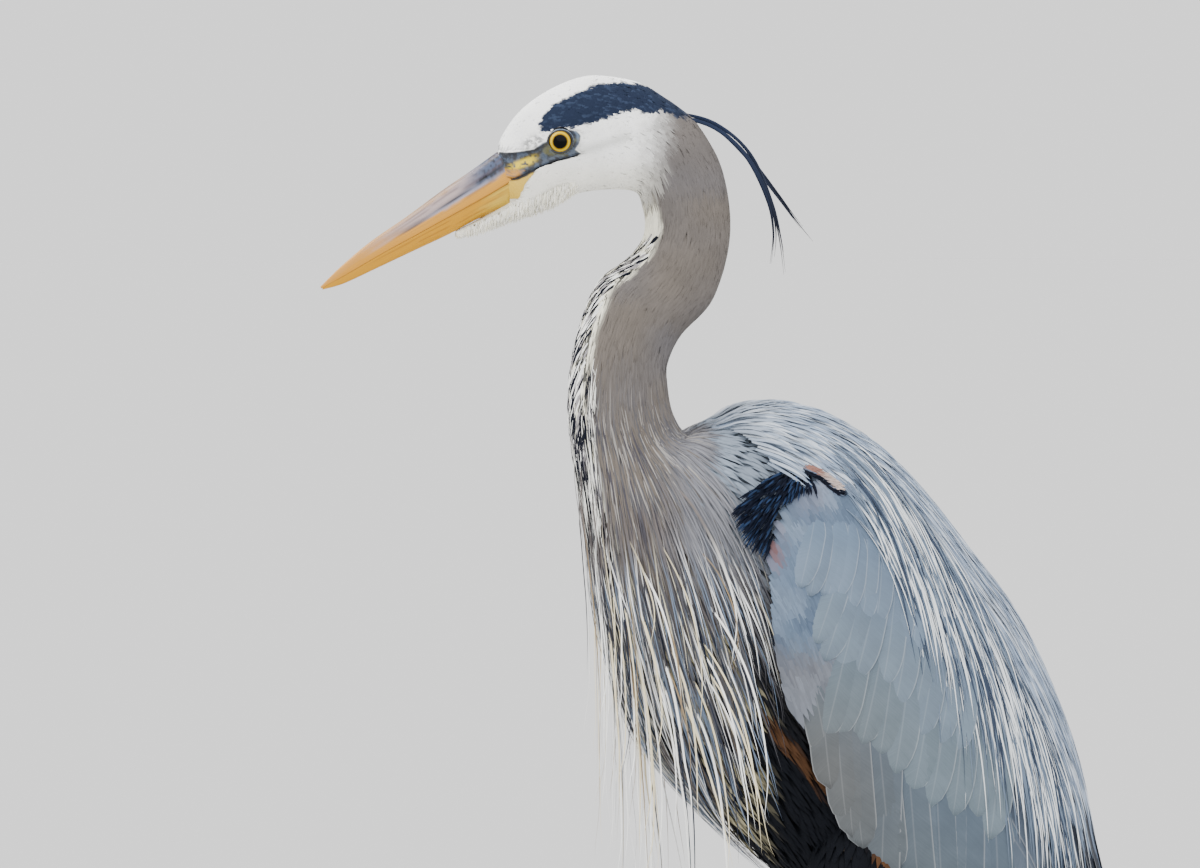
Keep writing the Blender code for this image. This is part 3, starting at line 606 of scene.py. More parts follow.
def bodyTint(point, place, angle):
    # The markings of head, neck and trunk.
    c = coatColours
    q, z = profile(point)
    front = np.degrees(np.abs(angle))
    ripple = grain(q * 500, z * 500, 3) * 0.0011
    # Noise fine enough to give each feather its own shade.
    single = grain(place * 53.7 + q * 900, front * 9.1, 21)
    white = mix(c["white"], c["cream"], 0.5 * smooth(0.885, 0.865, z))
    tint = white + 0.0 * point
    tan = smooth(-0.018, 0.016, q + 0.0615 - (z - 0.8785) * 0.15 + 3 * ripple)
    tan = np.maximum(tan, smooth(7.9, 8.9, place))
    neck = mix(c["taupe"] + 0 * point, c["lilac"], 0.5 + 0.5 * grain(q * 40, z * 60, 9))
    neck = mix(neck, c["neckGrey"], 0.75 * smooth(0.74, 0.67, z))
    neck = mix(neck, c["silver"], silvered(q, z))
    tint = mix(tint, neck, tan)
    # The throat is cream, and from there a band of ink and white streaks runs down the front.
    foreneck = smooth(133, 146, front + 5 * grain(z * 160, front * 0.05, 12)) * smooth(8.2, 9.8, place)
    tint = mix(tint, c["cream"], foreneck * smooth(21, 18, place))
    streaks = smooth(-0.02, 0.06, single) * smooth(10.4, 11.4, place) * smooth(136, 143, front)
    tint = mix(tint, c["ink"], 0.9 * streaks * smooth(21, 19, place))
    # A soft grey painted shadow runs back from the eye, along the fold of the cheek.
    tint = mix(tint, paint(150, 152, 146), 0.45 * nearTo(cheekFoldShadow, q, z, 0.0032))
    # Crown: a dark stripe on each side of a white cap.
    high = heightOf(stripeTop, q) + ripple
    low = heightOf(stripeLow, q) + ripple * 1.4
    stripe = smooth(-0.0008, 0.0008, high - z) * smooth(-0.0008, 0.0008, z - low)
    stripe = stripe * smooth(-0.1360, -0.1335, q + ripple) * smooth(8.6, 7.9, place)
    streak = 0.4 * smooth(0.1, 0.8, grain(q * 420 + z * 300, z * 900, 31))
    tint = mix(tint, mix(c["stripe"] + 0 * point, c["stripeLight"], streak), stripe)
    spot = blotch("forehead", q, z)
    broken = smooth(-0.5, 0.4, grain(q * 500 + z * 700, z * 500 - q * 300, 14))
    tint = mix(tint, c["ink"], np.clip(1.4 * spot, 0, 0.65) * broken * (place < 4))
    # Underparts from the breast back are near black with cream streaks, and rusty along the wing.
    under = smooth(80, 120, front) * smooth(20.5, 22.0, place)
    pale = smooth(0.05, 0.30, grain(front * 0.30, place * 0.9, 41) + 0.5 * single) * smooth(0.020, -0.010, q)
    below = mix(c["belly"] + 0 * point, paint(180, 172, 140), 0.85 * pale)
    tint = mix(tint, mix(below, c["chestnut"], 0.9 * rustShare(q, z)), under)
    back = smooth(100, 60, front) * smooth(18.2, 20.0, place)
    back = np.maximum(back, smooth(-0.040, -0.026, q) * smooth(0.660, 0.675, z) * smooth(16.6, 17.6, place))
    return mix(tint, paint(130, 141, 155), back)


def closedLoft(rings, flip=False):
    # Quads between rings of points, and a fan to the middle of each end ring.
    count, sides = rings.shape[:2]
    index = np.arange(count * sides).reshape(count, sides)
    following = np.roll(index, -1, axis=1)
    quads = np.stack([index[:-1], following[:-1], following[1:], index[1:]], -1).reshape(-1, 4)
    ends = np.array([rings[0].mean(0), rings[-1].mean(0)])
    points = np.concatenate([rings.reshape(-1, 3), ends])
    first = np.stack([following[0], index[0], np.full(sides, count * sides)], -1)
    last = np.stack([index[-1], following[-1], np.full(sides, count * sides + 1)], -1)
    fans = np.concatenate([first, last])
    if flip:
        quads, fans = quads[:, ::-1], fans[:, ::-1]
    return points, quads, fans


def loftMesh(name, rings):
    points, quads, fans = closedLoft(rings)
    return meshFrom(name, points, [quads, fans])


def withEnds(values):
    # The middle of each end ring takes that ring's mean.
    return np.concatenate([values.reshape(-1, 3), values[0].mean(0)[None], values[-1].mean(0)[None]])


skinSettings = {
    "faceStep": 0.02, "headStep": 0.07, "neckStep": 0.14, "trunkStep": 0.16, "faceAngles": (55, 142, 68),
    "otherAngles": 26, "underFeatherShade": (1.0, 0.75), "joinGap": 0.002, "chinShare": 0.74,
}
eyeSettings = {
    "centre": Vector((0.0110, -0.1232, 0.8895)), "gaze": Vector((0.958, -0.27, -0.04)), "radius": 0.0102,
    "opening": (0.0074, 0.0065), "tilt": math.radians(14), "pupil": 0.0041, "iris": 0.0065,
    "bulge": 0.0007, "rings": 48, "sides": 72,
}


def faceRelief(point, place):
    q, z = profile(point)
    side = smooth(0.004, 0.010, np.abs(point[..., 0])) * (place < 5.5)
    hollow = -0.0013 * blotch("loreHollow", q, z)
    lip = heightOf(mouthLine[::-1], q)
    fold = 0.0005 * np.exp(-(((z - lip) - 0.0022) / 0.0012)**2) * (q < -0.105)
    groove = -0.0011 * nearTo(mouthLine, q, z, 0.0008) + fold
    brow = 0.0008 * nearTo(browLine, q, z, 0.0014)
    pores = 0.00012 * grain(q * 1500, z * 1500, 51) * bareShare(point, place)
    return side * (hollow + groove + brow + pores)


def faceTint(point):
    q, z = profile(point)
    blue, dark = paint(70, 84, 104), paint(14, 18, 27)
    olive, yellow, gape = paint(86, 84, 30), paint(222, 192, 4), paint(216, 178, 60)
    mottle = grain(q * 420, z * 520, 61) + 0.6 * grain(q * 1100, z * 1100, 62)
    tint = mix(blue + 0 * point, dark, 0.30 + 0.65 * smooth(-0.4, 0.6, mottle))
    greenish = smooth(-0.1, 0.5, grain(q * 300, z * 300, 63)) * smooth(-0.140, -0.130, q)
    tint = mix(tint, olive, 0.7 * greenish * smooth(0.879, 0.882, z))
    lean = (z - 0.8758) - (q + 0.1442) * 0.37
    patch = np.exp(-((np.abs((q + 0.1450) / 0.0085)**4) + np.abs(lean / 0.0026)**3))
    tint = mix(tint, yellow, np.clip(1.3 * patch * smooth(-0.9, -0.1, grain(q * 600, z * 600, 64)), 0, 1))
    # The orange of the bill runs back on to the face, and the gape ends in a yellow wedge.
    ragged = 0.0014 * grain(q * 500, z * 900, 65)
    lip = heightOf(mouthLine[::-1], q)
    run = smooth(-0.1425, -0.1500, q + 1.5 * ragged) * smooth(0.8722, 0.8702, z + ragged)
    tint = mix(tint, paint(196, 138, 40), 0.8 * run)
    tint = mix(tint, paint(96, 88, 100), 0.6 * run * smooth(0.1, 0.6, grain(q * 260, z * 1100, 66)))
    tint = mix(tint, gape, 0.95 * smooth(-0.0004, -0.0014, z - lip + 0.4 * ragged))
    crease = nearTo(mouthLine, q, z + 0.2 * ragged, 0.0009)
    tint = mix(tint, dark * 0.6, np.clip(crease * 1.3, 0, 1))
    tint = mix(tint, dark * 0.5, 0.9 * nearTo(loreLine, q, z, 0.0012))
    around = np.exp(-(np.hypot(q + 0.1180, (z - 0.8905) * 1.1) - 0.0090)**2 / 0.0008**2)
    return mix(tint, paint(110, 128, 150), 0.7 * around * smooth(-0.120, -0.112, q) * smooth(0.886, 0.892, z))


def eyeFrame(side):
    # Two directions across the gaze, the first one lying back along the head.
    gaze = np.array(eyeSettings["gaze"]) * (side, 1, 1)
    gaze = gaze / np.linalg.norm(gaze)
    centre = np.array(eyeSettings["centre"]) * (side, 1, 1)
    tilt = eyeSettings["tilt"]
    back = np.array([0.0, math.cos(tilt), math.sin(tilt)])
    back = unit(back - gaze * (back @ gaze))
    up = np.cross(gaze, back) * side
    return centre, gaze, back, up


def makeSkin():
    s = skinSettings
    low, high, fine = s["faceAngles"]
    over = np.radians(np.linspace(0, low, s["otherAngles"], endpoint=False))
    face = np.radians(np.linspace(low, high, fine, endpoint=False))
    below = np.radians(np.linspace(high, 180, s["otherAngles"] // 2, endpoint=False))
    half = np.concatenate([over, face, below])
    angles = np.concatenate([half, [math.pi], 2 * math.pi - half[:0:-1]])
    places = np.concatenate([np.arange(0, 4.6, s["faceStep"]), np.arange(4.6, 9, s["headStep"]),
                             np.arange(9, 18, s["neckStep"]), np.arange(18, 31, s["trunkStep"]), [30.98]])
    place, angle = np.meshgrid(places, angles, indexing="ij")
    angle = np.where(angle > math.pi, angle - 2 * math.pi, angle)
    point, _, _, out = surfaceAt(bodyRows, place, angle)
    bare = bareShare(point, place)
    depth = rowAt(bodyRows, place)[..., 6] * (1 - bare)
    # The skin under the feathers takes their markings, darkened from the neck back as painted shade that
    # shows between the feathers.
    head, body = s["underFeatherShade"]
    under = bodyTint(point, place, angle) * (head + (body - head) * smooth(9, 19, place))[..., None]
    tint = mix(under, faceTint(point), bare)
    moved = point + out * (faceRelief(point, place) - depth)[..., None]
    # The face narrows where it slips under the base of the bill.
    slip = smooth(0.7, 0.0, place)
    moved[..., 0] *= 1 - 0.12 * slip
    moved[..., 2] += 0.0016 * slip * (1 - np.cos(angle))
    for _, side in sides:
        centre, _, _, _ = eyeFrame(side)
        away = moved - centre
        reach = np.linalg.norm(away, axis=-1)
        ball = eyeSettings["radius"] - 0.0004
        near = (reach < ball) & (np.sign(moved[..., 0]) == side)
        moved = np.where(near[..., None], centre + away * (ball / np.maximum(reach, 1e-6))[..., None], moved)
    points, quads, fans = closedLoft(moved)
    spread = withEnds(tint)
    skin = newObject("skin", meshFrom("skin", points, [quads, fans]))
    extras = [tube("thighCore", *thighPath(side)) for _, side in sides] + [chinCore()]
    for extra in extras:
        union = skin.modifiers.new("join", "BOOLEAN")
        union.operation = "UNION"
        union.solver = "EXACT"
        union.object = extra
    result = bpy.data.meshes.new_from_object(skin.evaluated_get(bpy.context.evaluated_depsgraph_get()))
    for left in [skin] + extras:
        bpy.data.objects.remove(left)
    # Every point takes the markings of the nearest one before the join, and new flesh its own: chestnut on
    # the thighs and cream on the chin, both darkened as painted shade under their feathers.
    joined = verticesOf(result)
    tree = treeOf(points)
    found = [tree.find(known) for known in joined]
    number = np.array([hit[1] for hit in found])
    added = np.array([hit[2] for hit in found]) > s["joinGap"]
    shade = spread[number]
    shade = np.where((added & (joined[:, 2] < 0.50))[:, None], coatColours["chestnut"] * 0.5, shade)
    shade = np.where((added & (joined[:, 2] > 0.80))[:, None], coatColours["cream"] * 0.8, shade)
    setTint(result, shade)
    flat = np.concatenate([unwrap(bodyRows, place, angle).reshape(-1, 2), [[0.02, 0.5], [0.98, 0.5]]])
    corners = np.empty(len(result.loops), np.int32)
    result.loops.foreach_get("vertex_index", corners)
    setMap(result, "OFBake", flat[number][corners])
    print("skin triangles:", sum(len(face.vertices) - 2 for face in result.polygons))
    flesh = [name for name in nodes if name in ("head", "trunk") or name.startswith(("neck_", "thigh_"))]
    newPiece("skin", result, makeSkinLook(), flesh)


def makeSkinLook():
    look, tree, shader = newLook("faceSkin", 0.42, 0.45)
    wrinkle = node(tree, "ShaderNodeTexVoronoi", {"Vector": objectPlace(tree), "Scale": 1400.0})
    finishLook(tree, shader, tintOf(tree), wrinkle.outputs["Distance"], 0.35, 0.0003)
    return look


legSettings = {
    "lean": 0.012, "outward": (0.036, 0.036, 0.038, 0.040, 0.042), "shares": (0, 0.1, 0.45, 0.8, 1),
    "thigh": [(0.082, 0.478), (0.070, 0.425), (0.0795, 0.310)], "ankle": (0.090, 0.207),
    "sole": (0.060, 0.011),
    "thighSizes": [(0.022, 0.034), (0.024, 0.037), (0.019, 0.029), (0.0135, 0.018), (0.0085, 0.0105)],
}


def legJoints(side):
    # Thigh top, knee, shank top, ankle and sole joint.
    s = legSettings
    spots = zip(s["outward"], s["shares"], s["thigh"] + [s["ankle"], s["sole"]])
    return np.array([(side * x, y - side * s["lean"] * share, z) for x, share, (y, z) in spots])


def thighPath(side):
    top, knee, shank = legJoints(side)[:3]
    path = np.array([top, knee, knee + (shank - knee) * 0.35, knee + (shank - knee) * 0.7, shank])
    return path, np.array(legSettings["thighSizes"]) - 0.002


def tube(name, path, sizes):
    # A closed tube through path, its half sizes given across (x) and fore and aft.
    return newObject(name, loftMesh(name, tubeRings(path, sizes, 40, 14)))


def tubeRings(path, sizes, sides, steps):
    share = np.linspace(0, len(path) - 1, (len(path) - 1) * steps + 1)
    centre, size = rowAt(path, share), rowAt(sizes, share)
    along = unit(np.gradient(centre, axis=0))
    across = unit(np.cross(along, np.array([0.0, 1.0, 0.0]) + 0 * along))
    fore = np.cross(across, along)
    turn = np.linspace(0, 2 * math.pi, sides, endpoint=False)
    wide = across[:, None] * (np.cos(turn)[:, None] * size[:, None, 0:1])
    deep = fore[:, None] * (np.sin(turn)[:, None] * size[:, None, 1:2])
    return centre[:, None] + wide - deep


def chinCore():
    place, angle = np.meshgrid(np.linspace(0.2, 5, 60), np.linspace(0, 2 * math.pi, 40, endpoint=False),
                               indexing="ij")
    point = pointAt(chinRows, place, angle)
    middle = point.mean(axis=1, keepdims=True)
    return newObject("chinCore", loftMesh("chinCore", middle + (point - middle) * skinSettings["chinShare"]))


makeSkin()


def makeIrisLook():
    look, tree, shader = newLook("eyeSurface", 0.25, 0.05, 0.06, 0.03)
    e = eyeSettings
    outward, turned = node(tree, "ShaderNodeSeparateXYZ", {0: mapPlace(tree, "gaze")}).outputs[:2]
    around, across = maths(tree, "MULTIPLY", turned, 34.0), maths(tree, "MULTIPLY", outward, 9.0)
    fibre = noise(tree, node(tree, "ShaderNodeCombineXYZ", {0: around, 1: across}).outputs[0], 1.0, 3.0)
    radius = maths(tree, "ADD", outward, maths(tree, "MULTIPLY_ADD", fibre, 0.03, -0.015))
    ramp = node(tree, "ShaderNodeValToRGB", {0: radius})
    pupil = math.asin(e["pupil"] / e["radius"]) / (math.pi / 2)
    iris = math.asin(e["iris"] / e["radius"]) / (math.pi / 2)
    stops = [(0.0, (3, 3, 4)), (pupil - 0.012, (4, 4, 5)), (pupil + 0.012, (124, 92, 8)),
             (pupil + 0.055, (196, 160, 10)),
             (iris - 0.07, (214, 182, 30)), (iris - 0.025, (150, 116, 14)), (iris + 0.012, (20, 15, 10)),
             (1.0, (6, 5, 6))]
    band = ramp.color_ramp
    while len(band.elements) < len(stops):
        band.elements.new(0.5)
    for element, (position, colour) in zip(band.elements, stops):
        element.position = position
        element.color = (*paint(*colour), 1)
    tree.links.new(ramp.outputs[0], shader.inputs["Base Color"])
    return look


def makeEyes():
    e = eyeSettings
    look = makeIrisLook()
    for name, side in sides:
        centre, gaze, back, up = eyeFrame(side)
        away = np.linspace(0, math.pi, e["rings"] + 1)[1:-1]
        turn = np.linspace(0, 2 * math.pi, e["sides"], endpoint=False)
        away, turn = np.meshgrid(away, turn, indexing="ij")
        bulge = e["radius"] + e["bulge"] * smooth(0.9, 0.35, away)
        across = back * np.cos(turn)[..., None] + up * np.sin(turn)[..., None]
        rings = centre + (gaze * np.cos(away)[..., None] + across
                          * np.sin(away)[..., None]) * bulge[..., None]
        points, quads, fans = closedLoft(rings, flip=side > 0)
        gazeMap = np.stack([away / (math.pi / 2), np.abs(turn / math.pi - 1)], -1).reshape(-1, 2)
        gazeMap = np.concatenate([gazeMap, [[0, 0.5], [2, 0.5]]])
        mesh = meshFrom("eyeball_" + name, points, [quads, fans], maps={"gaze": gazeMap})
        newPiece("eyeball_" + name, mesh, look, ["eye_" + name])


lidSettings = {
    # How far out from the opening, in degrees, and how far from the eye's middle.
    "profile": [(-3.0, 0.0101), (-1.0, 0.0106), (1.0, 0.01100), (3.5, 0.01108), (6.5, 0.0108), (10.0, 0.0103),
                (15.0, 0.0096), (22.0, 0.0086)],
    "sides": 120, "steps": 4, "inside": 0.93, "crinkle": 0.00012,
}


def makeLids():
    s = lidSettings
    a, b = eyeSettings["opening"]
    profileRows = np.array(s["profile"])
    share = np.linspace(0, len(profileRows) - 1, (len(profileRows) - 1) * s["steps"] + 1)
    shape = rowAt(profileRows, share)
    turn = np.linspace(0, 2 * math.pi, s["sides"], endpoint=False)
    opening = np.arcsin(a * b / np.hypot(b * np.cos(turn), a * np.sin(turn)) / eyeSettings["radius"])
    for name, side in sides:
        centre, gaze, back, up = eyeFrame(side)
        away = opening[None] + np.radians(shape[:, 0])[:, None]
        crinkle = s["crinkle"] * grain(turn[None] * 7 + 0 * away, np.degrees(away) * 0.5,
                                  71) * smooth(0, 4, shape[:, 0])[:, None]
        reach = shape[:, 1][:, None] + crinkle
        across = back * np.cos(turn)[:, None] + up * np.sin(turn)[:, None]
        rings = centre + (gaze * np.cos(away)[..., None] + across[None]
                          * np.sin(away)[..., None]) * reach[..., None]
        inner = centre + (rings - centre) * s["inside"]
        shell = np.concatenate([rings, inner[::-1]])
        count, sidesHere = shell.shape[:2]
        index = np.arange(count * sidesHere).reshape(count, sidesHere)
        following = np.roll(index, -1, axis=1)
        below, belowNext = np.roll(index, -1, axis=0), np.roll(following, -1, axis=0)
        quads = np.stack([index, following, belowNext, below], -1).reshape(-1, 4)
        if side > 0:
            quads = quads[:, ::-1]
        dark, blue, olive = paint(24, 26, 32), paint(126, 146, 172), paint(112, 108, 58)
        out = smooth(1.0, 5.0, shape[:, 0])[:, None] * np.ones_like(turn)[None]
        upward = smooth(0.1, 0.9, np.sin(turn) + 0.9 * np.cos(turn))[None] * np.ones_like(out)
        tint = mix(dark + 0 * rings, mix(olive * 0.8 + 0 * rings, blue, upward), 0.8 * out)
        tint = mix(tint, dark, 0.5 * smooth(0.0, 0.6, grain(turn[None] * 9 + 0 * away,
                                                            np.degrees(away) * 0.3, 72)))
        tint = np.concatenate([tint, tint[::-1]])
        mesh = meshFrom("eyelids_" + name, shell.reshape(-1, 3), [quads], tint.reshape(-1, 3))
        newPiece("eyelids_" + name, mesh, bpy.data.materials["faceSkin"])


makeEyes()
makeLids()
print("eyes and lids made")


billSettings = {
    "steps": 260, "halfSides": 34,
    "upper": [(0, 0), (0.015, 0.16), (0.12, 0.45), (0.38, 0.72), (0.70, 0.92), (0.93, 1.0), (0.99, 0.97),
              (1.0, 0.80), (0.985, 0)],
    "lower": [(0.03, 0), (0, 0.80), (0.03, 0.98), (0.10, 1.0), (0.35, 0.88), (0.68, 0.66), (0.92, 0.38),
              (1.0, 0.12), (1.0, 0)],
    "groove": [(0.0, 0.40), (0.30, 0.50), (0.62, 0.62)], "nostril": (0.115, 0.165),
}


def billPoints(rows, outline):
    s = billSettings
    outline = np.array(outline, float)
    share = np.linspace(0, 1, s["steps"])
    row = rowAt(rows, share * (len(rows) - 1))[:, None]
    around = rowAt(outline, np.linspace(0, len(outline) - 1, s["halfSides"]))[None]
    down, wide = np.clip(around[..., 0], -0.01, 1.01), around[..., 1]
    yz = row[..., 0:2] * (1 - down)[..., None] + row[..., 2:4] * down[..., None]
    left = np.concatenate([(row[..., 4] * wide)[..., None], yz], -1)
    rings = np.concatenate([left, left[:, -2:0:-1] * (-1, 1, 1)], axis=1)
    downAll = np.concatenate([down, down[:, -2:0:-1]], axis=1) + 0 * share[:, None]
    return rings, np.broadcast_to(share[:, None], downAll.shape), downAll


def makeBillLook():
    look, tree, shader = newLook("billHorn", 0.38, 0.32, 0.05, 0.25)
    stretch = node(tree, "ShaderNodeMapping", {0: mapPlace(tree, "length"), "Scale": (7.0, 60.0, 1.0)})
    fibre = noise(tree, stretch.outputs[0], 1.0, 4.0)
    toned = scaled(tree, tintOf(tree), rescaled(tree, fibre, 0.25, 0.75, 0.84, 1.12))
    finishLook(tree, shader, toned, fibre, 0.25, 0.0004)
    return look


def upperBillTint(share, down):
    orange, pink, blue = paint(200, 138, 26), paint(166, 148, 146), paint(62, 76, 104)
    dark, tip, tan = paint(18, 20, 34), paint(194, 132, 8), paint(158, 118, 66)
    wave = 0.07 * grain(share * 9, down * 7, 81) + 0.03 * grain(share * 30, down * 30, 82)
    tint = mix(pink + 0 * share[..., None], orange, smooth(0.58, 0.68, down + wave + 0.05 * share))
    tint = mix(tint, paint(142, 142, 160), 0.8 * smooth(0.44, 0.50, down) * smooth(0.66, 0.58, down)
               * smooth(0.6, 0.3, share))
    tint = mix(tint, tan, 0.85 * smooth(0.16, 0.02, down + wave) * smooth(0.10, 0.3, share))
    tint = mix(tint, blue, 0.9 * smooth(0.34, 0.08, share + wave) * smooth(0.58, 0.42, down + wave))
    mottle = smooth(-0.1, 0.4, grain(share * 70, down * 16, 83)) * smooth(0.24, 0.05,
                                                                          share) * smooth(0.6, 0.4, down)
    tint = mix(tint, dark, 0.85 * mottle)
    base = mix(blue + 0 * tint, dark, smooth(-0.3, 0.4, grain(share * 90, down * 22, 89)))
    tint = mix(tint, base, 0.9 * smooth(0.16, 0.03, share + 0.9 * wave) * smooth(0.68, 0.50, down))
    groove = heightOf(billSettings["groove"], share)
    tint = mix(tint, dark, 0.95 * np.exp(-((down - groove) / 0.036)**2) * smooth(0.70, 0.45, share))
    streak = smooth(0.15, 0.5, grain(share * 6, down * 42, 84)) * smooth(0.85, 0.4, share)
    tint = mix(tint, paint(78, 60, 64), 0.5 * streak * smooth(0.80, 0.62, down))
    spots = smooth(0.2, 0.5, grain(share * 12, down * 26, 88)) * smooth(0.16, 0.0, share)
    tint = mix(tint, dark, 0.7 * spots * smooth(0.6, 0.8, down))
    tint = mix(tint, tip, smooth(0.45, 0.80, share + wave) * 0.92)
    return mix(tint, paint(110, 62, 8), 0.5 * smooth(0.93, 1.0, down))


def lowerBillTint(share, down):
    orange, gape, brown = paint(204, 144, 8), paint(216, 178, 60), paint(140, 82, 8)
    wave = 0.07 * grain(share * 9, down * 7, 85) + 0.03 * grain(share * 30, down * 30, 86)
    tint = mix(orange + 0 * share[..., None], gape, 0.95 * smooth(0.38, 0.16, share + wave))
    streak = smooth(0.2, 0.6, grain(share * 6, down * 24, 87)) * smooth(0.95, 0.5, share)
    tint = mix(tint, brown, 0.50 * streak * smooth(0.08, 0.3, share))
    return mix(tint, paint(96, 58, 22), 0.6 * smooth(0.16, 0.02, down) * smooth(0.7, 0.15, share))


def makeBill():
    look = makeBillLook()
    s = billSettings
    parts = (("upper", upperBillRows, upperBillTint), ("lower", lowerBillRows, lowerBillTint))
    for name, rows, colour in parts:
        rings, share, down = billPoints(rows, s[name])
        tint = colour(share, down)
        if name == "upper":
            groove = heightOf(s["groove"], share)
            first, last = s["nostril"]
            dent = 0.0007 * np.exp(-((down - groove) / 0.05)**2) * smooth(0.62, 0.5, share)
            hole = smooth(first, first + 0.012, share) * smooth(last, last - 0.012, share)
            hole = np.exp(-((down - groove) / 0.035)**2) * hole
            rings = rings * np.stack([1 - (dent + 0.0016 * hole) / np.maximum(np.abs(rings[..., 0]), 0.003),
                                      np.ones_like(dent), np.ones_like(dent)], -1)
            tint = mix(tint, paint(16, 16, 20), np.clip(hole * 1.3, 0, 1))
        points, quads, fans = closedLoft(rings)
        run = np.concatenate([np.stack([share, down], -1).reshape(-1, 2), [[0, 0.5], [1, 0.5]]])
        mesh = meshFrom(name + "Bill", points, [quads, fans], withEnds(tint), {"length": run})
        newPiece(name + "Bill", mesh, look, ["bill_" + name])


makeBill()
print("bill made")


def lie(gravity=0.0, wander=0.0, seed=0):
    # The way feathers point: down the body, with some pull downwards and a little disorder.
    def heading(point, along, around, share):
        drift = np.random.default_rng(seed).uniform(-wander, wander, len(point))[:, None]
        return unit(along) + unit(around) * drift - upright * gravity
    return heading


def tuftBatch(rows, s, colour, heading, keep=None, mirror=False, offset=None):
    # Small overlapping feathers over part of a surface: the roots on the skin, the tips at the coat's top.
    rng = np.random.default_rng(s["seed"])
    place, angle = scatter(rows, s["places"], s["angles"], s["gap"], s["seed"])
    if keep is not None:
        kept = keep(pointAt(rows, place, angle), place, angle)
        place, angle = place[kept], angle[kept]
    count, rings = len(place), s["rings"]
    length = s["length"](place, angle) if callable(s["length"]) else s["length"] + 0 * place
    length = length * rng.uniform(0.8, 1.2, count)
    centre, outs, places, angles = walk(rows, place, angle, heading, length, rings - 1)
    t = np.linspace(0, 1, rings)
    depth = s["depth"](place) if callable(s["depth"]) else s["depth"] + 0 * place
    rise = s["rise"] * rng.uniform(0.2, 1.6, count)
    lift = -depth[:, None] * (1 - smooth(0.0, s.get("climb", 0.65), t)) + rise[:, None] * t**1.5
    at = max(1, rings // 2)
    tint = colour(centre[:, at], places[:, at], angles[:, at])
    tone = rng.uniform(1 - s["tone"], 1 + s["tone"], count)[:, None, None]
    # Each tuft is painted darker towards its root: painted shade where the tufts above cover it.
    shade = s.get("shade", 0.80)
    tint = tint[:, None] * tone * (shade + (1.04 - shade) * t)[None, :, None]
    centre = centre + outs * lift[..., None]
    if offset is not None:
        centre[..., 0] += offset(place)[:, None]
    half = s["half"] * rng.uniform(0.75, 1.25, count)[:, None] * (0.55 + 1.2 * t - 1.72 * t**2.2)[None]
    roll = rng.uniform(-s["roll"], s["roll"], count)
    root = unwrap(rows, place, angle)
    return vaneBatch(centre, outs, half, half * s["arch"], tint, root, s.get("ribs", 3), mirror, roll)


def feathered(point, place, angle):
    return bareShare(point, place) < 0.5


def skinDepth(place):
    return rowAt(bodyRows, place)[..., 6]


def towardsThroat(turn, gravity):
    # The striped feathers of the foreneck slant forward to its middle.
    def heading(point, along, around, share):
        return unit(along) + unit(around) * (np.sign(point[:, 0]) * turn)[:, None] - upright * gravity
    return heading


def clearOfWing(point, place, angle):
    return np.abs(angle) > edgeAt(place - 20, 7) - math.radians(14)


def onForeneck(point, place, angle):
    front = np.degrees(np.abs(angle))
    return (front > 137) & (front < 166)


circle = (-math.pi, math.pi)      # all the way round
coatSettings = {
    "head": {"places": (0.15, 9.0), "angles": circle, "gap": lambda p,
             a: 0.00092 + 0.00058 * smooth(1.5, 7.5, p),
             "length": lambda p, a: 0.0050 + 0.0080 * smooth(1.0, 8.0, p), "half": 0.00110, "rings": 3,
             "depth": skinDepth,
             "rise": 0.00002, "tone": 0.02, "roll": 0.04, "arch": 0.12, "seed": 101, "shade": 0.97,
             "climb": 0.5},
    "neckUpper": {"places": (8.7, 13.2), "angles": circle, "gap": 0.00180, "length": 0.0180, "half": 0.00098,
                  "rings": 5,
                  "depth": skinDepth, "rise": 0.0002, "tone": 0.06, "roll": 0.07, "arch": 0.16, "seed": 102,
                  "shade": 0.96,
                  "climb": 0.34},
    "neckLower": {"places": (12.8, 19.6), "angles": circle, "gap": 0.00232, "length": 0.026, "half": 0.00112,
                  "rings": 5,
                  "depth": skinDepth, "rise": 0.0003, "tone": 0.08, "roll": 0.09, "arch": 0.18, "seed": 103,
                  "shade": 0.95,
                  "climb": 0.34},
    "trunk": {"places": (18.6, 30.9), "angles": circle, "gap": 0.0044, "length": 0.027, "half": 0.0019,
              "rings": 5,
              "depth": skinDepth, "rise": 0.0004, "tone": 0.10, "roll": 0.25, "arch": 0.3, "seed": 104},
}
stripeSettings = {"places": (10.3, 19.6), "angles": circle, "gap": 0.0026, "length": lambda p,
                  a: 0.014 + 0.010 * smooth(11, 15, p),
                  "half": 0.00130, "rings": 7, "depth": 0.0012, "rise": 0.0006, "tone": 0.05, "roll": 0.3,
                  "arch": 0.4,
                  "seed": 105, "shade": 0.95}


def stripeTint(point, place, angle):
    kind = np.random.default_rng(106).random(len(point))
    tint = mix(coatColours["ink"] + 0 * point, paint(246, 246, 242), kind > 0.50)
    return mix(tint, paint(150, 146, 148), kind > 0.84)


def makeBodyCoat():
    s = coatSettings
    batch = tuftBatch(bodyRows, s["head"], bodyTint, lie(0.15, 0.10, 11), feathered)
    featherPiece("headCoat", [batch], plumage["fluff"])
    for name in ("neckUpper", "neckLower"):
        batch = tuftBatch(bodyRows, s[name], bodyTint, lie(0.25, 0.10, 12))
        featherPiece(name + "Coat", [batch], plumage["fluff"])
    batch = tuftBatch(bodyRows, stripeSettings, stripeTint, towardsThroat(0.42, 0.1), onForeneck)
    featherPiece("neckStripes", [batch], plumage["fluff"])
    batch = tuftBatch(bodyRows, s["trunk"], bodyTint, lie(0.3, 0.15, 13), clearOfWing)
    featherPiece("trunkCoat", [batch], plumage["down"])


makeBodyCoat()
print("body coat made")


foldedSettings = {"outer": 0.0032, "inner": 0.0085, "rings": 70, "across": 54, "end": 11.4}


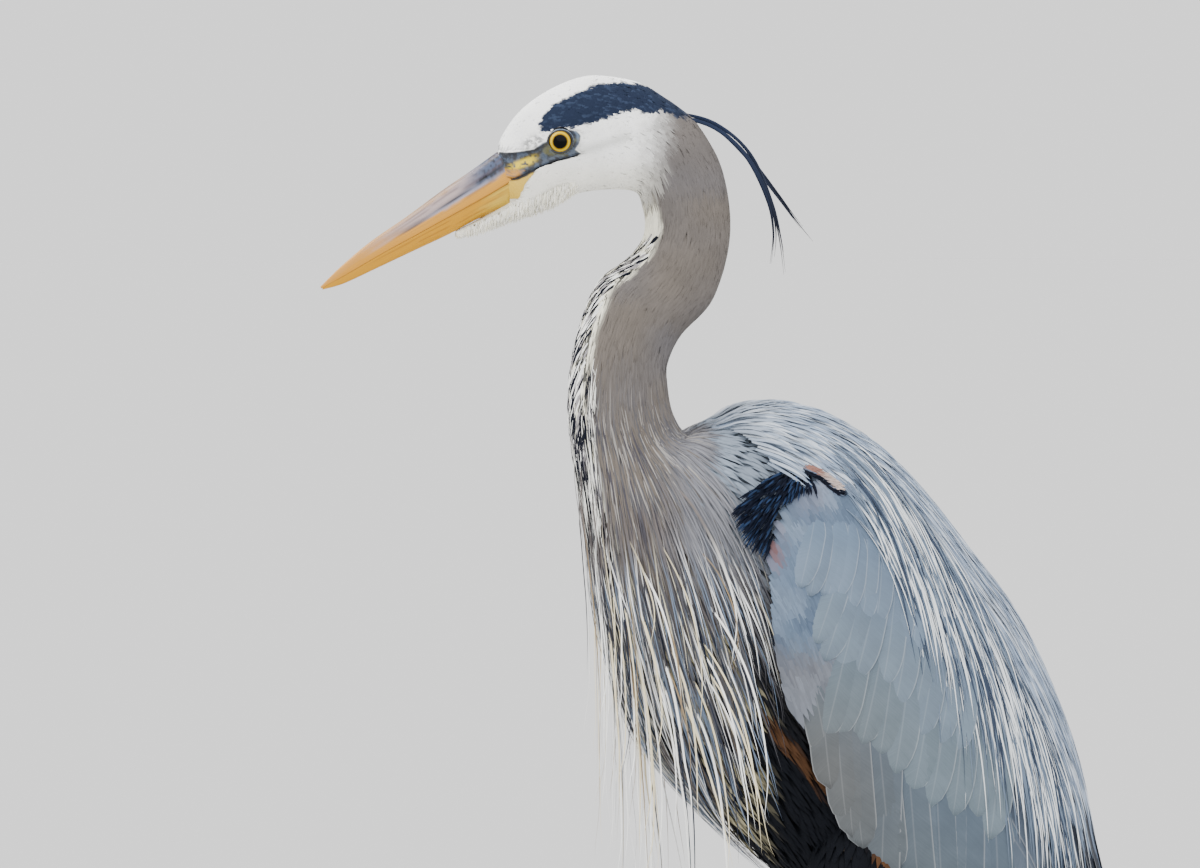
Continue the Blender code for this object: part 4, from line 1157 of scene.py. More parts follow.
def makeFoldedBase():
    # The layer that the feathers of back and wings grow from: a darkened mantle grey as painted shade between
    # the feathers, and ink under the dark shoulder patch.
    s = foldedSettings
    place = np.linspace(0.0, s["end"], s["rings"])[:, None]
    share = np.linspace(-1, 1, s["across"])[None]
    edge = np.maximum(edgeAt(place, 7) - math.radians(3), math.radians(12))
    angle = edge * share
    point, _, _, out = surfaceAt(foldedRows, place + 0 * angle, angle)
    thin = 1 - 0.5 * np.abs(share[..., None])**6
    rings = np.concatenate([point - out * s["outer"], (point - out * s["inner"] * thin)[:, ::-1]], axis=1)
    points, quads, fans = closedLoft(rings)
    dark = insideOf(navyArea, *profile(points))
    # Painted shade: the mantle's grey darkened, apart from the ink of the dark patch.
    tint = mix(coatColours["mantle"] * 0.8 + 0 * points, coatColours["ink"], dark)
    mesh = meshFrom("foldedBase", points, [quads, fans], tint)
    newPiece("foldedBase", mesh, bpy.data.materials["faceSkin"],
             ["mantle", "wing_left", "wing_right"])


def makeLocator():
    # Finds the place and angle on the left wing that lie at a point of the profile.
    place, angle = np.meshgrid(np.linspace(0, 15, 301), np.radians(np.linspace(2, 160, 180)), indexing="ij")
    q, z = profile(pointAt(foldedRows, place, angle))
    return treeOf(np.stack([q, z, 0 * q], -1).reshape(-1, 3)), place.ravel(), angle.ravel()


def wingPlaces(spots):
    tree, place, angle = wingLocator
    found = np.array([tree.find((q, z, 0.0))[1] for q, z in spots])
    return place[found], angle[found]


def downwards(degrees):
    # A world direction this far below the horizontal, towards the tail.
    def heading(point, along, around, share):
        slope = np.radians(degrees + 0 * point[:, 0])
        return np.stack([0 * slope, np.cos(slope), -np.sin(slope)], -1)
    return heading


def roundedVane(t, tipStart=0.70, root=0.45):
    tip = np.clip((t - tipStart) / (1 - tipStart), 0, 0.992)
    return (root + (1 - root) * smooth(0, 0.35, t)) * np.sqrt(1 - tip**2)


def pointedVane(t):
    return (0.5 + 0.5 * smooth(0, 0.25, t)) * (1 - np.clip((t - 0.45) / 0.56, 0, 1)**1.6)


wingRows = [
    # Roots are places on the profile. Length, width and slope run from a row's first feather to its last,
    # lift and colour from a feather's root to its tip.
    {"name": "secondaries", "roots": [(0.032, 0.600), (0.062, 0.575), (0.098, 0.550), (0.136, 0.522),
                                      (0.168, 0.50)],
     "count": 15, "length": (0.108, 0.222), "width": (0.021, 0.026), "slope": (83, 86),
     "lift": (-0.0026, -0.0010),
     "colour": ((84, 97, 111), (88, 97, 104)), "roll": 0.10, "tip": 0.84},
    {"name": "innerCoverts", "roots": [(0.070, 0.612), (0.095, 0.600), (0.125, 0.582), (0.160, 0.556)],
     "count": 12, "length": (0.092, 0.110), "width": (0.022, 0.025), "slope": (102, 94),
     "lift": (-0.0020, -0.0001),
     "colour": ((88, 102, 116), (102, 115, 124)), "roll": 0.12, "tip": 0.72},
    {"name": "greaterCoverts", "roots": [(0.064, 0.640), (0.085, 0.630), (0.110, 0.612), (0.14, 0.588)],
     "count": 12, "length": (0.072, 0.084), "width": (0.021, 0.022), "slope": (108, 98),
     "lift": (-0.0014, 0.0006),
     "colour": ((90, 106, 124), (106, 120, 133)), "roll": 0.13, "tip": 0.68},
    {"name": "medianCoverts", "roots": [(0.046, 0.662), (0.062, 0.656), (0.084, 0.644), (0.108, 0.622)],
     "count": 12, "length": (0.054, 0.062), "width": (0.017, 0.018), "slope": (104, 98),
     "lift": (-0.0008, 0.0010),
     "colour": ((92, 109, 129), (106, 121, 138)), "roll": 0.15, "tip": 0.62},
]


def layRow(row, seed):
    rng = np.random.default_rng(seed)
    count = row["count"]
    share = np.linspace(0, 1, count)
    line = np.array(row["roots"], float)
    spots = np.stack([np.interp(share * (len(line) - 1), np.arange(len(line)), line[:, k]) for k in (0, 1)],
                     -1)
    spots = spots + rng.normal(0, 0.0012, spots.shape)
    place, angle = wingPlaces(spots)
    length = np.interp(share, (0, 1), row["length"]) * rng.uniform(0.93, 1.07, count)
    slope = np.interp(share, (0, 1), row["slope"]) + rng.normal(0, 2.0, count)
    rings, ribs = 18, 9
    centre, outs, _, _ = walk(foldedRows, place, angle, downwards(slope), length, rings - 1)
    t = np.linspace(0, 1, rings)
    lift = row["lift"][0] + (row["lift"][1] - row["lift"][0]) * smooth(0, 0.7, t) + rng.normal(0, 0.00015,
                                                                                               count)[:, None]
    centre = centre + outs * lift[..., None]
    width = np.interp(share, (0, 1), row["width"]) * rng.uniform(0.95, 1.05, count)
    half = width[:, None] / 2 * roundedVane(t, row["tip"])[None]
    first, last = (paint(*c) for c in row["colour"])
    tint = first + (last - first) * smooth(0.1, 0.9, t)[None, :, None] * np.ones((count, 1, 1))
    q, z = profile(centre)
    warm = smooth(0.12, 0.040, q) * smooth(0.59, 0.48, z)
    tint = mix(tint, paint(98, 90, 80), 0.45 * warm)
    tint = tint * rng.uniform(0.93, 1.06, count)[:, None, None]
    root = unwrap(foldedRows, place, angle)
    roll = -row["roll"] + rng.normal(0, 0.02, count)
    return pairOfBatches(centre, outs, half, half * 0.16, tint, root, ribs, roll)


lesserArea = np.array([
    (0.018, 0.674), (0.0125, 0.650), (0.0135, 0.620), (0.0175, 0.580), (0.0215, 0.553), (0.027, 0.539),
    (0.034, 0.545),
    (0.050, 0.560), (0.066, 0.580), (0.082, 0.606), (0.086, 0.640), (0.070, 0.668), (0.046, 0.681),
])
navyArea = np.array([
    (-0.0019, 0.6635), (0.0045, 0.6723), (0.0234, 0.6843), (0.0396, 0.6830), (0.0448, 0.6786),
    (0.0350, 0.6748),
    (0.0253, 0.6685), (0.0208, 0.6603), (0.0169, 0.6509), (0.0175, 0.6408), (0.0117, 0.6396),
    (0.0039, 0.6484),
])
rimLine = np.array([(0.0385, 0.6836), (0.0420, 0.6822), (0.0480, 0.6790), (0.0530, 0.6752), (0.0570, 0.6712)])
shoulderSettings = {
    "lesser": {"places": (0.4, 6.8), "angles": (0.2, 2.0), "gap": 0.0024, "length": 0.0190, "half": 0.0028,
               "rings": 6, "ribs": 3,
               "depth": 0.0022, "rise": 0.0003, "tone": 0.12, "roll": 0.10, "arch": 0.22, "seed": 210,
               "shade": 0.88, "climb": 0.3},
    "navy": {"places": (0.0, 5.0), "angles": (0.2, 2.0), "gap": 0.0017, "length": 0.0130, "half": 0.00095,
             "rings": 6,
             "depth": 0.0035, "rise": 0.0022, "tone": 0.15, "roll": 0.4, "arch": 0.5, "seed": 211,
             "shade": 0.9},
    "rim": {"places": (0.0, 6.0), "angles": (0.1, 2.0), "gap": 0.0011, "length": 0.0062, "half": 0.0008,
            "rings": 5,
            "depth": -0.0010, "rise": 0.0018, "tone": 0.06, "roll": 0.2, "arch": 0.6, "seed": 212,
            "shade": 0.95},
}


def lesserTint(point, place, angle):
    q, z = profile(point)
    tint = mix(paint(92, 108, 128) + 0 * point, paint(108, 123, 142),
               smooth(-0.3, 0.5, grain(q * 60, z * 60, 213)))
    tint = mix(tint, paint(74, 88, 108), 0.7 * smooth(0.12, 0.6, grain(q * 95, z * 75, 214)))
    tint = mix(tint, paint(126, 126, 140), 0.6 * smooth(0.650, 0.675, z) * smooth(0.060, 0.045, q))
    tint = mix(tint, paint(118, 112, 108), 0.5 * smooth(0.585, 0.555, z))
    return mix(tint, paint(118, 72, 60), np.clip(3.0 * blotch("shoulderPink", q, z), 0, 0.92))


def navyTint(point, place, angle):
    kind = np.random.default_rng(215).random(len(point))
    return mix(paint(9, 15, 30) + 0 * point, paint(36, 54, 84), 0.8 * (kind > 0.76))


def rimTint(point, place, angle):
    # A cream fold with a dark line under it, rusty at its front.
    q, z = profile(point)
    above = z - heightOf(rimLine, q)
    cream = mix(paint(184, 168, 160) + 0 * point, paint(126, 80, 68), 0.85 * smooth(0.052, 0.045, q))
    tint = mix(paint(104, 116, 136) + 0 * point, cream, smooth(-0.0006, 0.0, above))
    return mix(tint, paint(12, 16, 28), smooth(0.0018, 0.0011, np.abs(above + 0.0022)))


def radiating(point, along, around, share):
    # Long dark feathers of the shoulder fan forward and down from its top.
    q, z = profile(point)
    return unit(np.stack([0 * q, q - 0.042, z - 0.698], -1))


def downRim(point, along, around, share):
    return np.broadcast_to(unit(np.array([0.0, 0.030, -0.019])), point.shape)


def onPatch(point, place, angle):
    return insideOf(navyArea, *profile(point))


def onRim(point, place, angle):
    return distanceTo(rimLine, *profile(point)) < 0.0029


def lesserOnly(point, place, angle):
    q, z = profile(point)
    return insideOf(lesserArea, q, z) & ~insideOf(navyArea, q, z)


def makeShoulder():
    parts = (("lesser", "lesserCoverts", lesserTint, lie(1.2, 0.25, 216), lesserOnly),
             ("navy", "shoulderPatch", navyTint, radiating, onPatch),
             ("rim", "shoulderRim", rimTint, downRim, onRim))
    for key, name, *rest in parts:
        batches = [tuftBatch(foldedRows, shoulderSettings[key], *rest, mirror) for mirror in (False, True)]
        featherPiece(name, batches, plumage["fluff"])


wingLocator = makeLocator()
makeFoldedBase()
for number, row in enumerate(wingRows):
    featherPiece(row["name"], layRow(row, 220 + number), plumage["vane"])
makeShoulder()
print("wings made")


flightSettings = {
    "primaries": {"roots": [(9.2, 100), (9.3, 92), (9.4, 84), (9.5, 76), (9.6, 67), (9.7, 58), (9.9, 48),
                            (10.1, 38), (10.3, 28)],
                  "length": (0.175, 0.225), "half": 0.0105, "lift": (-0.006, -0.002),
                  "colour": ((58, 64, 78), (30, 33, 42))},
    "tertials": {"roots": [(7.2, 86), (7.6, 76), (8.0, 66), (8.3, 56), (8.6, 46), (8.9, 36), (9.1, 26),
                           (9.3, 14)],
                 "length": (0.150, 0.185), "half": 0.0125, "lift": (-0.0032, -0.0012),
                 "colour": ((72, 82, 96), (94, 104, 116))},
}


def makeFlight():
    t = np.linspace(0, 1, 22)
    for number, (name, s) in enumerate(flightSettings.items()):
        rng = np.random.default_rng(240 + number)
        roots = np.array(s["roots"], float)
        place, angle = roots[:, 0], np.radians(roots[:, 1])
        count = len(place)
        share = np.linspace(0, 1, count)
        length = np.interp(share, (0, 1), s["length"]) * rng.uniform(0.97, 1.03, count)

        def heading(point, along, around, part):
            return unit(along) + np.array([0, 0.05, -0.35])

        centre, outs, _, _ = walk(foldedRows, place, angle, heading, length, len(t) - 1)
        lift = s["lift"][0] + (s["lift"][1] - s["lift"][0]) * smooth(0, 0.8, t) + 0.0006 * share[:, None]
        centre = centre + outs * lift[..., None]
        half = s["half"] * roundedVane(t, 0.72, 0.6)[None] * rng.uniform(0.95, 1.05, count)[:, None]
        first, last = (paint(*c) for c in s["colour"])
        tint = (first + (last - first) * smooth(0.1, 0.9, t)[None, :, None]) * rng.uniform(0.92, 1.08,
                                                                                           count)[:, None,
                                                                                                  None]
        q, z = profile(centre)
        tint = mix(tint, coatColours["ink"], 0.85 * smooth(0.196, 0.202, q) * smooth(0.482, 0.474, z))
        root = unwrap(foldedRows, place, angle)
        roll = 0.10 + rng.normal(0, 0.02, count)
        batches = pairOfBatches(centre, outs, half, half * 0.16, tint, root, 7, roll)
        replaced = ["wing_tip_left", "wing_tip_right"] if name == "primaries" else ()
        featherPiece(name, batches, plumage["flight" if name == "primaries" else "vane"],
                     replaced)


makeFlight()


mantleSettings = {
    "places": (0.0, 10.6), "angles": (-1.15, 1.15), "gap": 0.0037, "length": lambda p,
    a: 0.026 + 0.030 * smooth(1.5, 6, p),
    "half": 0.00140, "rings": 7, "depth": 0.0026, "rise": 0.0009, "tone": 0.13, "roll": 0.2, "arch": 0.30,
    "seed": 260,
}
silverSettings = {
    # Roots down the side of the back, with the lengths and slopes of the plumes there.
    "roots": [(0.058, 0.684), (0.070, 0.672), (0.082, 0.658), (0.098, 0.638), (0.118, 0.612), (0.142, 0.578),
              (0.165, 0.540),
              (0.188, 0.500)],
    "length": (0.060, 0.100, 0.125, 0.145, 0.160, 0.160, 0.145, 0.115),
    "slope": (76, 80, 83, 84, 83, 81, 79, 76),
    "count": 450, "spread": 0.021, "half": 0.00060, "rings": 16, "seed": 270, "lift": (0.0010, 0.0030),
}


def mantleTint(point, place, angle):
    q = profile(point)[0]
    near = smooth(0.05, -0.02, q)
    tint = mix(coatColours["mantle"] + 0 * point, paint(164, 172, 182), 0.8 * near)
    # Some tufts are painted dark, as painted shade in the gaps between the strands, and some pale, as painted
    # highlights on them.
    single = grain(place * 61.3, np.degrees(angle) * 7.7, 261)
    tint = mix(tint, paint(58, 70, 94), 0.45 * smooth(0.18, 0.3, single) * (1 - 0.9 * smooth(0.09, 0.01, q)))
    return mix(tint, paint(214, 220, 226), 0.55 * smooth(-0.15, -0.28, single) * (1 - 0.3 * near))


wingFront = np.array([(-0.004, 0.672), (0.008, 0.60), (0.06, 0.60), (0.085, 0.632), (0.066, 0.666),
                      (0.044, 0.689), (0.024, 0.691),
                      (0.007, 0.682)])


def onMantle(point, place, angle):
    q, z = profile(point)
    edge = np.minimum(edgeAt(place, 6) + math.radians(12), edgeAt(place, 7) + math.radians(2))
    # The dark wing tips show below the last of them.
    bare = (z < 0.486 - (q - 0.196) * 0.9) & (np.degrees(np.abs(angle)) > 14)
    return (np.abs(angle) < edge) & ~insideOf(wingFront, q, z) & ~bare


def makeMantle():
    s = mantleSettings
    batch = tuftBatch(foldedRows, s, mantleTint, lie(0.45, 0.10, 14), onMantle)
    featherPiece("mantleCoat", [batch], plumage["down"])


def makeSilverPlumes():
    s = silverSettings
    rng = np.random.default_rng(s["seed"])
    line = np.array(s["roots"])
    share = np.sort(rng.random(s["count"])) * (len(line) - 1)
    numbers = np.arange(len(line))
    spots = np.stack([np.interp(share, numbers, line[:, k]) for k in (0, 1)], -1)
    spots = spots + rng.uniform(-1, 1, spots.shape) * s["spread"] * (0.45, 0.9) + (0.002, 0.004)
    place, angle = wingPlaces(spots)
    length = np.interp(share, numbers, s["length"]) * rng.uniform(0.55, 1.08, s["count"])
    slope = np.interp(share, numbers, s["slope"]) + rng.normal(0, 2.5, s["count"])
    start = rng.uniform(-38, -18, s["count"])

    def heading(point, along, around, part):
        # They leave along the back and bend down.
        return downwards(slope + start * (1 - part)**2)(point, along, around, part)

    centre, outs, _, _ = walk(foldedRows, place, angle, heading, length, s["rings"] - 1)
    t = np.linspace(0, 1, s["rings"])
    top = rng.uniform(0.35, 1.0, s["count"])[:, None]
    lift = s["lift"][0] + (s["lift"][1] - s["lift"][0]) * top * smooth(0, 0.6, t)
    side = np.cross(outs, unit(np.gradient(centre, axis=1)))
    wave = 0.0008 * np.sin(t[None] * rng.uniform(3, 8, s["count"])[:, None]
                           + rng.uniform(0, 6.3, s["count"])[:, None])
    centre = centre + outs * lift[..., None] + side * (wave * t)[..., None]
    half = s["half"] * rng.uniform(0.6, 1.3, s["count"])[:, None] * pointedVane(t)[None]
    kind = rng.random(s["count"])[:, None]
    grey, silver, ink = paint(106, 121, 140), paint(230, 235, 238), paint(36, 46, 66)
    tint = mix(grey + 0 * centre, silver, (smooth(0.05, 0.5, t)[None] * (kind < 0.33)))
    # A few plumes darken to near black: painted shade standing in for the dark gaps between the plumes.
    tint = mix(tint, ink, (smooth(0.0, 0.4, t)[None] * (kind > 0.84)) * 0.85)
    root = unwrap(foldedRows, place, angle)
    roll = rng.uniform(-0.5, 0.5, s["count"])
    batches = pairOfBatches(centre, outs, half, half * 0.5, tint, root, 3, roll)
    featherPiece("silverPlumes", batches, plumage["plume"])


makeMantle()
makeSilverPlumes()
print("back made")


breastSettings = {
    # Plumes spread from one point near the base of the neck, then hang.
    "spreadFrom": (0.0, -0.112, 0.775), "seed": 300,
    # How far forward the plumes may hang at each height.
    "front": ((0.430, -0.094), (0.468, -0.0985), (0.500, -0.1020), (0.562, -0.1030), (0.600, -0.1040),
              (0.640, -0.1080),
              (0.676, -0.1130), (0.700, -0.1150), (0.760, -0.1130)),
    "rear": ((0.540, 0.030), (0.600, 0.004), (0.640, -0.010), (0.665, -0.020), (0.700, -0.040),
             (0.740, -0.042)),
    "hair": {"count": 3300, "places": (14.3, 23.6), "angles": (14, 180), "length": (0.020, 0.044),
             "half": 0.00050, "rings": 6,
             "lift": 0.0012, "fall": 0.12, "settle": 0.7},
    "plumes": {"count": 560, "places": (17.6, 22.6), "angles": (52, 176), "length": (0.065, 0.140),
               "half": 0.00046, "rings": 16,
               "lift": 0.0030, "fall": 0.26, "settle": 0.45},
    "hanging": {"count": 58, "places": (17.2, 21.4), "angles": (140, 180), "length": (0.105, 0.185),
                "half": 0.00066, "rings": 20,
                "lift": 0.0045, "fall": 0.9, "settle": 0.0},
}


def makeCloud():
    # Points over the body's surface with the way out of each, for plumes to rest on.
    clouds = []
    for rows, first, last, low, high in ((bodyRows, 11, 30.5, 0, 180), (foldedRows, 1.8, 10, 26, 125)):
        place, angle = np.meshgrid(np.linspace(first, last, 150), np.radians(np.linspace(low, high, 90)),
                                   indexing="ij")
        point, _, _, out = surfaceAt(rows, place, angle)
        if rows is foldedRows:
            kept = angle < edgeAt(place, 7)
            point, out = point[kept], out[kept]
        clouds.append((point.reshape(-1, 3), out.reshape(-1, 3)))
    points, outs = (np.concatenate(parts) for parts in zip(*clouds))
    return treeOf(points), points, outs


def drape(start, out, direction, length, steps, lift, fall, inward, settle):
    # Lets each plume run on, pushed clear of the body wherever it would sink in.
    tree, points, outs = bodyCloud
    heights, fronts = np.array(breastSettings["front"]).T
    centre, ups = [start + out * lift[:, None] * 0.1], [out]
    stride = length / (steps - 1)
    for k in range(1, steps):
        pull = fall * k / steps
        towards = unit(direction + np.array([0, 0, -1.0]) * pull[:, None])
        spot = centre[-1] + towards * stride[:, None]
        found = np.array([tree.find(p)[1] for p in spot])
        normal = outs[found]
        height = ((spot - points[found]) * normal).sum(-1)
        wanted = lift * min(1.0, k / steps * 2.2)
        push = np.maximum(wanted - height, 0.0)
        # Those over the side of the body settle back on to it.
        sink = np.maximum(height - wanted, 0.0) * np.maximum(settle, 0.7 * smooth(-0.02, 0.05, spot[:, 1]))
        spot = spot + normal * (push - sink)[:, None]
        limit = np.interp(spot[:, 2], heights, fronts) + inward + 0.0045 * (np.abs(spot[:, 0]) / 0.03)**2
        spot[:, 1] = np.maximum(spot[:, 1], limit)
        spot[:, 0] = np.maximum(spot[:, 0], 0.0002)
        centre.append(spot)
        ups.append(unit(ups[-1] * 0.5 + normal))
        direction = unit(direction * 0.55 + unit(spot - centre[-2]) * 0.45)
    return np.stack(centre, 1), np.stack(ups, 1)


def breastBatches(name, colour):
    s = breastSettings[name]
    steps = s["rings"]
    batches = []
    for mirror in (False, True):
        rng = np.random.default_rng(breastSettings["seed"] + 7 * mirror + len(name))
        first, last = s["places"]
        count = s["count"]
        place = first + (last - first) * rng.random(count)**0.8
        angle = np.radians(rng.uniform(*s["angles"], count))
        point, along, _, out = surfaceAt(bodyRows, place, angle)
        # None grow on the shoulder, where the back's feathers begin.
        heights, rear = np.array(breastSettings["rear"]).T
        kept = profile(point)[0] < np.interp(point[:, 2], heights, rear)
        place, angle, point, along, out = (part[kept] for part in (place, angle, point, along, out))
        count = len(place)
        spread = unit((point - np.array(breastSettings["spreadFrom"])) * (0.45, 1, 1))
        spread = mix(unit(along), spread, smooth(14.6, 17.6, place))
        direction = unit(spread + rng.normal(0, 0.05, point.shape) * (0.3, 1, 0.6))
        length = rng.uniform(*s["length"], count) * (1 - 0.62 * smooth(-0.05, 0.01, point[:, 1])
                                                     * (name != "hair"))
        lift = s["lift"] * rng.uniform(0.15, 1.0, count) * (0.1 + 0.9 * smooth(14.3, 18.5, place))
        inward = rng.uniform(0, 1, count) * (0.050 if name == "hanging" else 0.010) - 0.001
        fall = s["fall"] * rng.uniform(0.5, 1.4, count)
        centre, ups = drape(point, out, direction, length, steps, lift, fall, inward, s["settle"])
        t = np.linspace(0, 1, steps)
        wave = 0.0022 * np.sin(t[None] * rng.uniform(2, 6, count)[:, None]
                               + rng.uniform(0, 6.3, count)[:, None]) * t
        curl = 0.010 * rng.uniform(-0.3, 1.0, count)[:, None] * smooth(0.7, 1.0,
                                                                       t)[None]**2 * (name == "hanging")
        centre[..., 1] += wave * (name != "hair") - curl * 0.6
        half = s["half"] * rng.uniform(0.6, 1.3, count)[:, None] * pointedVane(t)[None]
        tint = colour(rng, centre, t)
        root = unwrap(bodyRows, place, angle)
        roll = rng.uniform(-0.5, 0.5, count)
        batches.append(vaneBatch(centre, ups, half, half * 0.5, tint, root, 3, mirror, roll))
    return batches


def pickShades(kind, shares, shades):
    # One shade for each feather, in the given shares.
    steps = np.cumsum(shares)
    return np.array(shades)[np.searchsorted(steps, kind * steps[-1] * 0.9999)][:, None]


def plumeTint(rng, centre, t):
    q, z = profile(centre)
    kind = rng.random(len(centre))
    taupe = mix(paint(98, 92, 90) + 0 * centre, coatColours["silver"], silvered(q, z))
    shades = [paint(246, 247, 247), paint(214, 208, 184), paint(110, 124, 144), paint(82, 82, 87),
              paint(24, 30, 44)]
    tint = mix(taupe, pickShades(kind, (0.22, 0.07, 0.29, 0.34, 0.08), shades),
               smooth(0.10, 0.45, t)[None] + 0 * z)
    tint = mix(tint, taupe, smooth(0.595, 0.650, z + 0.35 * np.minimum(q + 0.085, 0)))
    return tint * rng.uniform(0.95, 1.04, len(centre))[:, None, None]


def hangingTint(rng, centre, t):
    kind = rng.random(len(centre))
    shades = [paint(250, 250, 246), paint(226, 214, 180), paint(136, 118, 92), paint(36, 40, 52)]
    picked = pickShades(kind, (0.40, 0.30, 0.18, 0.12), shades)
    q, z = profile(centre)
    high = smooth(0.600, 0.655, z + 0.5 * np.minimum(q + 0.085, 0))
    return mix(picked + 0 * centre, paint(104, 98, 96), high)


def hairTint(rng, centre, t):
    q, z = profile(centre)
    kind, other = rng.random((2, len(centre)))
    shades = [coatColours["taupe"], coatColours["neckGrey"], paint(74, 72, 78), paint(146, 142, 138)]
    tint = pickShades(kind, (0.42, 0.28, 0.16, 0.14), shades) + 0 * centre
    edge = np.interp(z, stripeEdge[:, 1], stripeEdge[:, 0])
    front = smooth(0.003, -0.002, q - edge)
    striped = pickShades(other, (0.46, 0.34, 0.20), [coatColours["ink"], paint(244, 243, 236),
                                                     paint(96, 94, 98)])
    tint = mix(tint, coatColours["silver"], silvered(q, z) * (other > 0.2)[:, None])
    tint = mix(tint, paint(99, 94, 92), 0.85 * smooth(0.700, 0.750, z))
    tint = mix(tint, striped, front)
    low = smooth(0.625, 0.575, z) * (1 - front)
    deepShades = [coatColours["ink"], paint(84, 88, 98), paint(92, 84, 76), paint(150, 150, 146)]
    deep = pickShades(other, (0.07, 0.49, 0.22, 0.22), deepShades)
    tint = mix(tint, deep, low)
    wedge = smooth(-0.010, 0.008, q) * smooth(0.630, 0.600, z)
    tint = mix(tint, coatColours["belly"], wedge)
    return tint * rng.uniform(0.92, 1.06, len(centre))[:, None, None]


bodyCloud = makeCloud()
featherPiece("breastHair", breastBatches("hair", hairTint), plumage["fluff"])
featherPiece("breastPlumes", breastBatches("plumes", plumeTint), plumage["plume"],
             ["chest_plumes"])
featherPiece("hangingPlumes", breastBatches("hanging", hangingTint), plumage["plume"])
print("breast made")


thighSettings = {"places": (0.0, 4.0), "angles": circle, "gap": 0.0046, "length": 0.018, "half": 0.0030,
                 "rings": 5,
                 "depth": 0.002, "rise": 0.0010, "tone": 0.14, "roll": 0.2, "arch": 0.4}
chinSettings = {"places": (0.5, 4.97), "angles": (80, 280), "count": 3200, "length": (0.0026, 0.0072),
                "half": 0.00044,
                "rings": 5, "sunk": 0.0010, "seed": 330}


def makeThighCoat():
    for name, side in sides:
        path, size = thighPath(side)
        size = size + 0.002
        along = unit(np.gradient(path[:, 1:], axis=0))
        fore = np.stack([-along[:, 1], along[:, 0]], -1) * -1
        back = path[:, 1:] - fore * size[:, 1:2]
        front = path[:, 1:] + fore * size[:, 1:2]
        rows = np.column_stack([back, front, size[:, 0], np.zeros(len(size))])

        def colour(point, place, angle):
            q, z = profile(point)
            dark = smooth(0.1, 0.6, grain(point[..., 1] * 200, z * 90, 332))
            tint = mix(coatColours["chestnut"] + 0 * point, paint(72, 42, 26), 0.6 * dark)
            return mix(tint, coatColours["belly"], smooth(0.385, 0.415, z) * (1 - rustShare(q, z)))

        s = dict(thighSettings, seed=331 + (side > 0))
        batch = tuftBatch(rows, s, colour, lie(0.3, 0.15, 15),
                          offset=lambda place: np.interp(place, range(5), path[:, 0]))
        featherPiece("thighCoat_" + name, [batch], plumage["down"])


def makeChinCoat():
    # A soft ragged fringe under the lower bill, combed back and down.
    s = chinSettings
    rng = np.random.default_rng(s["seed"])
    count = s["count"]
    place = rng.uniform(*s["places"], count)
    angle = np.radians(rng.uniform(*s["angles"], count))
    root, along, _, out = surfaceAt(chinRows, place, angle)
    way = unit(unit(along) * 0.15 + np.array([0, 0, -0.85]) + out * 0.02 + rng.normal(0, 0.15, root.shape))
    shortest, longest = s["length"]
    length = (shortest + (longest - shortest) * rng.random(count)**1.4) * (1 - 0.4 * smooth(4.2, 4.97, place))
    length = length * smooth(-0.6, 1.8, place)
    t = np.linspace(0, 1, s["rings"])
    sunk = s["sunk"] * (1 - 0.6 * smooth(4.0, 4.97, place))
    centre = (root - out * sunk[:, None])[:, None] + way[:, None] * (length[:, None] * t)[..., None]
    facing = unit(np.stack([np.where(root[:, 0] < 0, -1.0, 1.0), 0 * length, 0 * length], -1))
    outs = np.broadcast_to(facing[:, None], centre.shape)
    half = s["half"] * rng.uniform(0.6, 1.3, count)[:, None] * pointedVane(t)[None]
    tint = mix(paint(252, 250, 242) + 0 * root, coatColours["cream"], rng.random(count))
    # Each strand is painted a little darker at its root: painted shade under the strands above.
    tint = tint[:, None] * (0.93 + 0.07 * t)[None, :, None] * rng.uniform(0.95, 1.0, (count, 1, 1))
    root = unwrap(bodyRows, place * 0.2, angle)
    roll = rng.uniform(-0.5, 0.5, count)
    batch = vaneBatch(centre, outs, half, half * 0.4, tint, root, 3, False, roll)
    featherPiece("chinCoat", [batch], plumage["fluff"])


makeThighCoat()
makeChinCoat()


napeSettings = {
    # Each path in y and z leaves the rear crown, with its start and end to the side.
    "left": ((0.006, 0.007), [(-0.048, 0.905), (-0.023, 0.898), (-0.002, 0.880), (0.012, 0.853),
                              (0.016, 0.832), (0.014, 0.812)]),
    "middle": ((0.0, 0.0), [(-0.048, 0.908), (-0.021, 0.901), (0.002, 0.882), (0.016, 0.852), (0.022, 0.828),
                            (0.025, 0.805)]),
    "right": ((-0.006, -0.007), [(-0.048, 0.905), (-0.020, 0.899), (0.004, 0.878), (0.022, 0.856),
                                 (0.035, 0.839), (0.046, 0.826)]),
    "strands": 5, "half": 0.00105, "rings": 30, "seed": 340,
}


